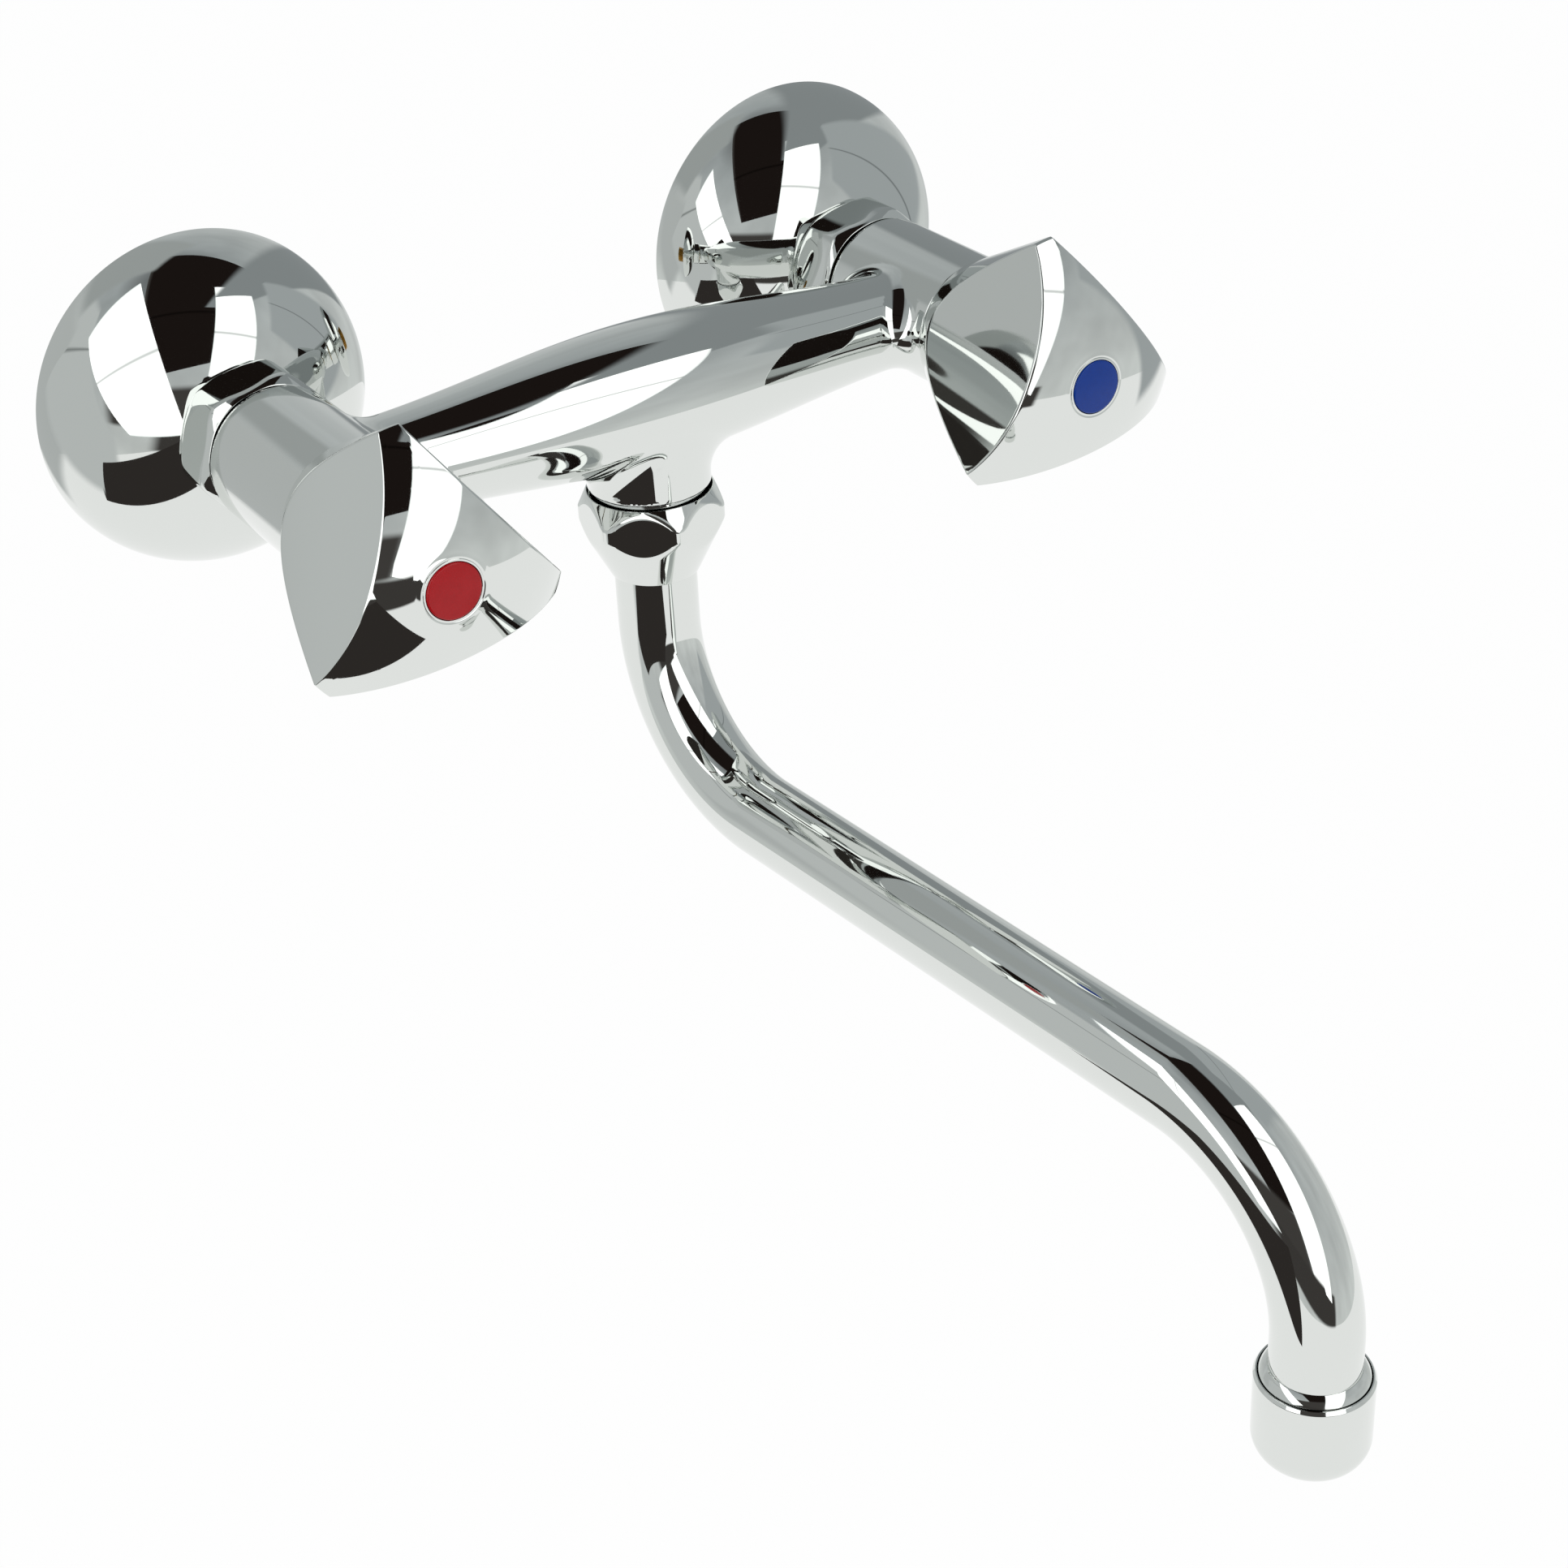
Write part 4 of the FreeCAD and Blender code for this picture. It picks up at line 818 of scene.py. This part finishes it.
def rolled(across, upward, degrees):
    angle = math.radians(degrees)
    return (across * math.cos(angle) + upward * math.sin(angle),
            upward * math.cos(angle) - across * math.sin(angle))


def addCamera():
    azimuth = math.radians(camera["azimuth"])
    elevation = math.radians(camera["elevation"])
    backward = Vector((math.sin(azimuth) * math.cos(elevation), -math.cos(azimuth) * math.cos(elevation),
                       math.sin(elevation)))
    right = Vector((math.cos(azimuth), math.sin(azimuth), 0.0))
    across, upward = rolled(right, backward.cross(right), camera["roll"])
    holder = bpy.data.objects.new("camera", bpy.data.cameras.new("camera"))
    scene.collection.objects.link(holder)
    placed = Matrix((across, upward, backward)).transposed().to_4x4()
    placed.translation = Vector(camera["place"])
    holder.matrix_world = placed
    holder.data.sensor_width = camera["sensor"]
    holder.data.lens = camera["focalPixels"] * camera["sensor"] / camera["imagePixels"]
    holder.data.clip_start = camera["clipStart"]
    scene.camera = holder


addCamera()
scene.view_settings.view_transform = "Standard"

# The tap stands in a small white tent: pale grey walls, a near white floor, two lamps in front
# on either side of the dark opening that it is photographed through, and a dark tray below.
# Only mirrors see these. To the eye, and through glass, the ground and the air are plain white.
studio = {"middle": (0.0, -0.13, -0.06), "tentRadius": 1.6, "tentRows": 48, "tentColumns": 96,
          "foldLength": 625.0, "foldRange": (0.3, 0.7), "foldShade": (0.88, 1.08), "floorHeight": -0.62,
          "floorSize": 6.0, "floorWhite": 0.95, "air": "#F4F6F6", "airStrength": 0.85}
square = ((-1, -1), (1, -1), (1, 1), (-1, 1))


def addBackdrop(name, points, faces, material):
    mesh = bpy.data.meshes.new(name)
    mesh.from_pydata(points, [], faces)
    obj = addObject(name, mesh, material)
    return obj


def showOnlyToMirrors(obj, lights=False):
    obj.visible_camera = False
    obj.visible_shadow = False
    obj.visible_diffuse = lights
    obj.visible_volume_scatter = False


def glowing(name, colour, strength):
    material, tree, surface = emptyMaterial(name)
    glow = addNode(tree, "Emission", {}, {"Color": linearColour(colour), "Strength": strength})
    tree.links.new(glow.outputs[0], surface)
    return material, tree, glow, surface


def ramped(tree, factor, stops, interpolation="LINEAR"):
    ramp = addNode(tree, "ValToRGB", {}, {"Fac": factor})
    ramp.color_ramp.interpolation = interpolation
    elements = ramp.color_ramp.elements
    elements[0].position, elements[1].position = stops[0][0], stops[-1][0]
    for place, _ in stops[1:-1]:
        elements.new(place)
    for element, (_, colour) in zip(elements, stops):
        element.color = colour
    return ramp.outputs["Color"]


def mixed(tree, share, first, second):
    # Two shaders, of which the second takes this share.
    return addNode(tree, "MixShader", {}, {
        0: share, 1: first.outputs[0], 2: second.outputs[0]}).outputs[0]


def facing(yaw, pitch):
    # The direction from the tap that lies this far right of and above the camera.
    yaw, pitch = math.radians(yaw), math.radians(pitch)
    return scene.camera.matrix_world.to_3x3() @ Vector((
        math.sin(yaw) * math.cos(pitch), math.sin(pitch), math.cos(yaw) * math.cos(pitch)))


# Each panel is placed right of and above the camera's direction, in degrees, at a distance in
# metres, turned away from the tap by two angles and rolled by a third. Then come half its width
# and height, its colour and strength, its seam (across X or Y, its place and the colour of the
# sheet's hem), and the share of the sheet over which its edges fade out.
panels = {
    "lampLeft": (-44.8, 4.2, 0.305, 63.6, 15.2, -71.7, 0.248, 0.126,
                 "#FFFFFF", 1.7, ("X", 0.42, "#C8CCCC"), 0.0),
    "lampRight": (36.9, 15.3, 0.385, 4.0, -9.1, -4.5, 0.100, 0.390,
                  "#FFFFFF", 1.6, ("Y", 0.60, "#C8CCCC"), 0.0),
    "darkOpening": (14.8, 35.1, 0.664, -22.1, 6.7, 12.4, 0.354, 0.636,
                    "#1D1715", 1.0, ("Y", 0.50, "#4A4745"), 0.0),
    "trayUnder": (-58.7, -46.5, 0.253, 13.6, -50.0, -27.5, 0.181, 0.080, "#322E2C", 1.0, None, 0.0),
    "greyAbove": (108.6, 68.6, 0.408, -34.1, 33.1, -55.5, 0.142, 0.694, "#8F9496", 1.0, None, 0.12),
    "stripLow": (26.2, -41.7, 0.458, -34.3, 28.4, -17.0, 0.310, 0.080, "#403D3B", 1.0, None, 0.12),
    "stripMiddle": (-14.3, -21.6, 0.459, 16.7, 22.9, -2.7, 0.330, 0.124, "#454240", 1.0, None, 0.15),
    "wallNear": (-69.6, 3.8, 0.410, -32.4, -17.0, 3.9, 0.197, 0.419,
                 "#C9CCCC", 1.0, ("Y", 0.66, "#A4A8A8"), 0.1),
    "wallRight": (104.1, 44.4, 0.298, 9.8, -25.1, 55.5, 0.136, 0.185,
                  "#ABB0B2", 1.0, ("X", 0.55, "#8D9294"), 0.08),
    "wallLeft": (-98.2, 14.1, 0.368, -19.4, -2.2, -12.5, 0.128, 0.171, "#BFC2C2", 1.0, None, 0.15),
    "wallHigh": (-90.3, 56.8, 0.447, -15.0, -20.6, -12.2, 0.135, 0.179, "#A7ABAB", 1.0, None, 0.15),
}
sheetDetail = {"hem": 0.03, "seam": 0.012, "thread": (0.4, 0.41, 0.41, 1), "lamp": 1.2}


def addPanel(name, panel):
    yaw, pitch, distance, turnYaw, turnPitch, roll, *rest = panel
    halfWidth, halfHeight, colour, strength, seam, feather = rest
    middle = Vector(studio["middle"]) + facing(yaw, pitch) * distance
    normal = facing(yaw + turnYaw, pitch + turnPitch)
    level = (scene.camera.matrix_world.to_3x3() @ Vector((0, 1, 0))).cross(normal).normalized()
    across, upward = rolled(level, normal.cross(level), roll)
    corners = [middle + across * (a * halfWidth) + upward * (b * halfHeight) for a, b in square]
    material, tree, glow, surface = glowing(name, colour, strength)
    obj = addBackdrop(name, corners, [(0, 1, 2, 3)], material)
    obj.data.uv_layers.new(name="sheet").data.foreach_set("uv", [0, 0, 1, 0, 1, 1, 0, 1])
    showOnlyToMirrors(obj, strength > sheetDetail["lamp"])
    white, black = (1, 1, 1, 1), (0, 0, 0, 1)
    if seam or feather:
        sheet = addNode(tree, "SeparateXYZ", {}, {"Vector": addNode(tree, "TexCoord").outputs["UV"]})
    if seam:
        along, place, hemColour = seam
        body, dull = linearColour(colour), linearColour(hemColour)
        hem, width = sheetDetail["hem"], sheetDetail["seam"]
        hemmed = ramped(tree, sheet.outputs["X"], [(0.0, dull), (hem, body), (1 - hem, body), (1.0, dull)])
        sewn = ramped(tree, sheet.outputs[along], [
            (place - width, white), (place, sheetDetail["thread"]), (place + width, white)])
        both = addNode(tree, "MixRGB", {"blend_type": "MULTIPLY"}, {
            "Fac": 1.0, "Color1": hemmed, "Color2": sewn})
        tree.links.new(both.outputs["Color"], glow.inputs["Color"])
    if feather:
        stops = [(0.0, black), (feather, white), (1 - feather, white), (1.0, black)]
        fades = {index: ramped(tree, sheet.outputs[axis], stops, "EASE") for index, axis in enumerate("XY")}
        share = addNode(tree, "Math", {"operation": "MULTIPLY"}, fades)
        clear = addNode(tree, "BsdfTransparent")
        tree.links.new(mixed(tree, share.outputs[0], clear, glow), surface)


for name, panel in panels.items():
    addPanel(name, panel)

# Height on the tent (0 the bottom, 0.5 level with the tap, 1 the top) and the wall's colour there.
wallGlow = [(0.0, "#FBFBFA"), (0.25, "#F6F7F5"), (0.33, "#DADDDC"), (0.5, "#C8CBCB"), (0.75, "#BEC2C3"),
            (0.93, "#A9AEB0"), (1.0, "#6A6D6F")]


def addTent():
    # A sphere of cloth whose glow steps from the floor's near white through grey to the dark top,
    # with soft folds that are a little darker and brighter.
    rows, columns = studio["tentRows"], studio["tentColumns"]
    polar = np.linspace(0, math.pi, rows)[:, None]
    around = fullTurn(columns)[None, :]
    points = aroundAxis(np.sin(polar) + 0 * around, around, np.cos(polar)).reshape(-1, 3)
    points = points * studio["tentRadius"] + np.array(studio["middle"])
    material, tree, glow, _ = glowing("tentWalls", "#FFFFFF", 1.0)
    centred = addNode(tree, "Mapping", {}, {
        "Vector": addNode(tree, "TexCoord").outputs["Object"],
        "Location": tuple(-value for value in studio["middle"])}).outputs["Vector"]
    height = addNode(tree, "SeparateXYZ", {}, {
        "Vector": addNode(tree, "VectorMath", {"operation": "NORMALIZE"}, {0: centred}).outputs["Vector"]})
    stops = [(place, linearColour(colour)) for place, colour in wallGlow]
    share = spread(tree, height.outputs["Z"], 0.0, 1.0, -1.0)
    tree.links.new(ramped(tree, share, stops), glow.inputs["Color"])
    folds = noise(tree, centred, studio["foldLength"], 2.0)
    shade = spread(tree, folds, *studio["foldShade"], *studio["foldRange"])
    tree.links.new(shade, glow.inputs["Strength"])
    faces = gridFaces(rows, columns, False).tolist()
    showOnlyToMirrors(addBackdrop("tentWalls", points.tolist(), faces, material))


def seenShare(tree):
    # 1 for what the eye, a mirror or glass sees, and 0 for what only lights the tap.
    path = addNode(tree, "LightPath")
    share = path.outputs["Is Camera Ray"]
    for ray in ("Is Glossy Ray", "Is Transmission Ray"):
        share = addNode(tree, "Math", {"operation": "MAXIMUM"}, {0: share, 1: path.outputs[ray]}).outputs[0]
    return share


def addGround():
    # Matt white paper that keeps the tap's faint shadow and is otherwise as white as the air.
    material, tree, surface = emptyMaterial("paleGround")
    share = addNode(tree, "Math", {"operation": "MULTIPLY"}, {0: seenShare(tree), 1: studio["floorWhite"]})
    matt = addNode(tree, "BsdfDiffuse", {}, {"Color": (1, 1, 1, 1)})
    white = addNode(tree, "Emission", {}, {"Color": (1, 1, 1, 1), "Strength": 1.0})
    tree.links.new(mixed(tree, share.outputs[0], matt, white), surface)
    size = studio["floorSize"]
    corners = [(x * size, y * size, studio["floorHeight"]) for x, y in square]
    addBackdrop("paleGround", corners, [(0, 1, 2, 3)], material)


def addAir():
    scene.world, tree, surface = emptyTree(bpy.data.worlds.new("paleAir"), "OutputWorld")
    lighting = addNode(tree, "Background", {}, {
        "Color": linearColour(studio["air"]), "Strength": studio["airStrength"]})
    white = addNode(tree, "Background", {}, {"Color": (1, 1, 1, 1), "Strength": 1.0})
    tree.links.new(mixed(tree, seenShare(tree), lighting, white), surface)


addTent()
addGround()
addAir()
print("studio made")
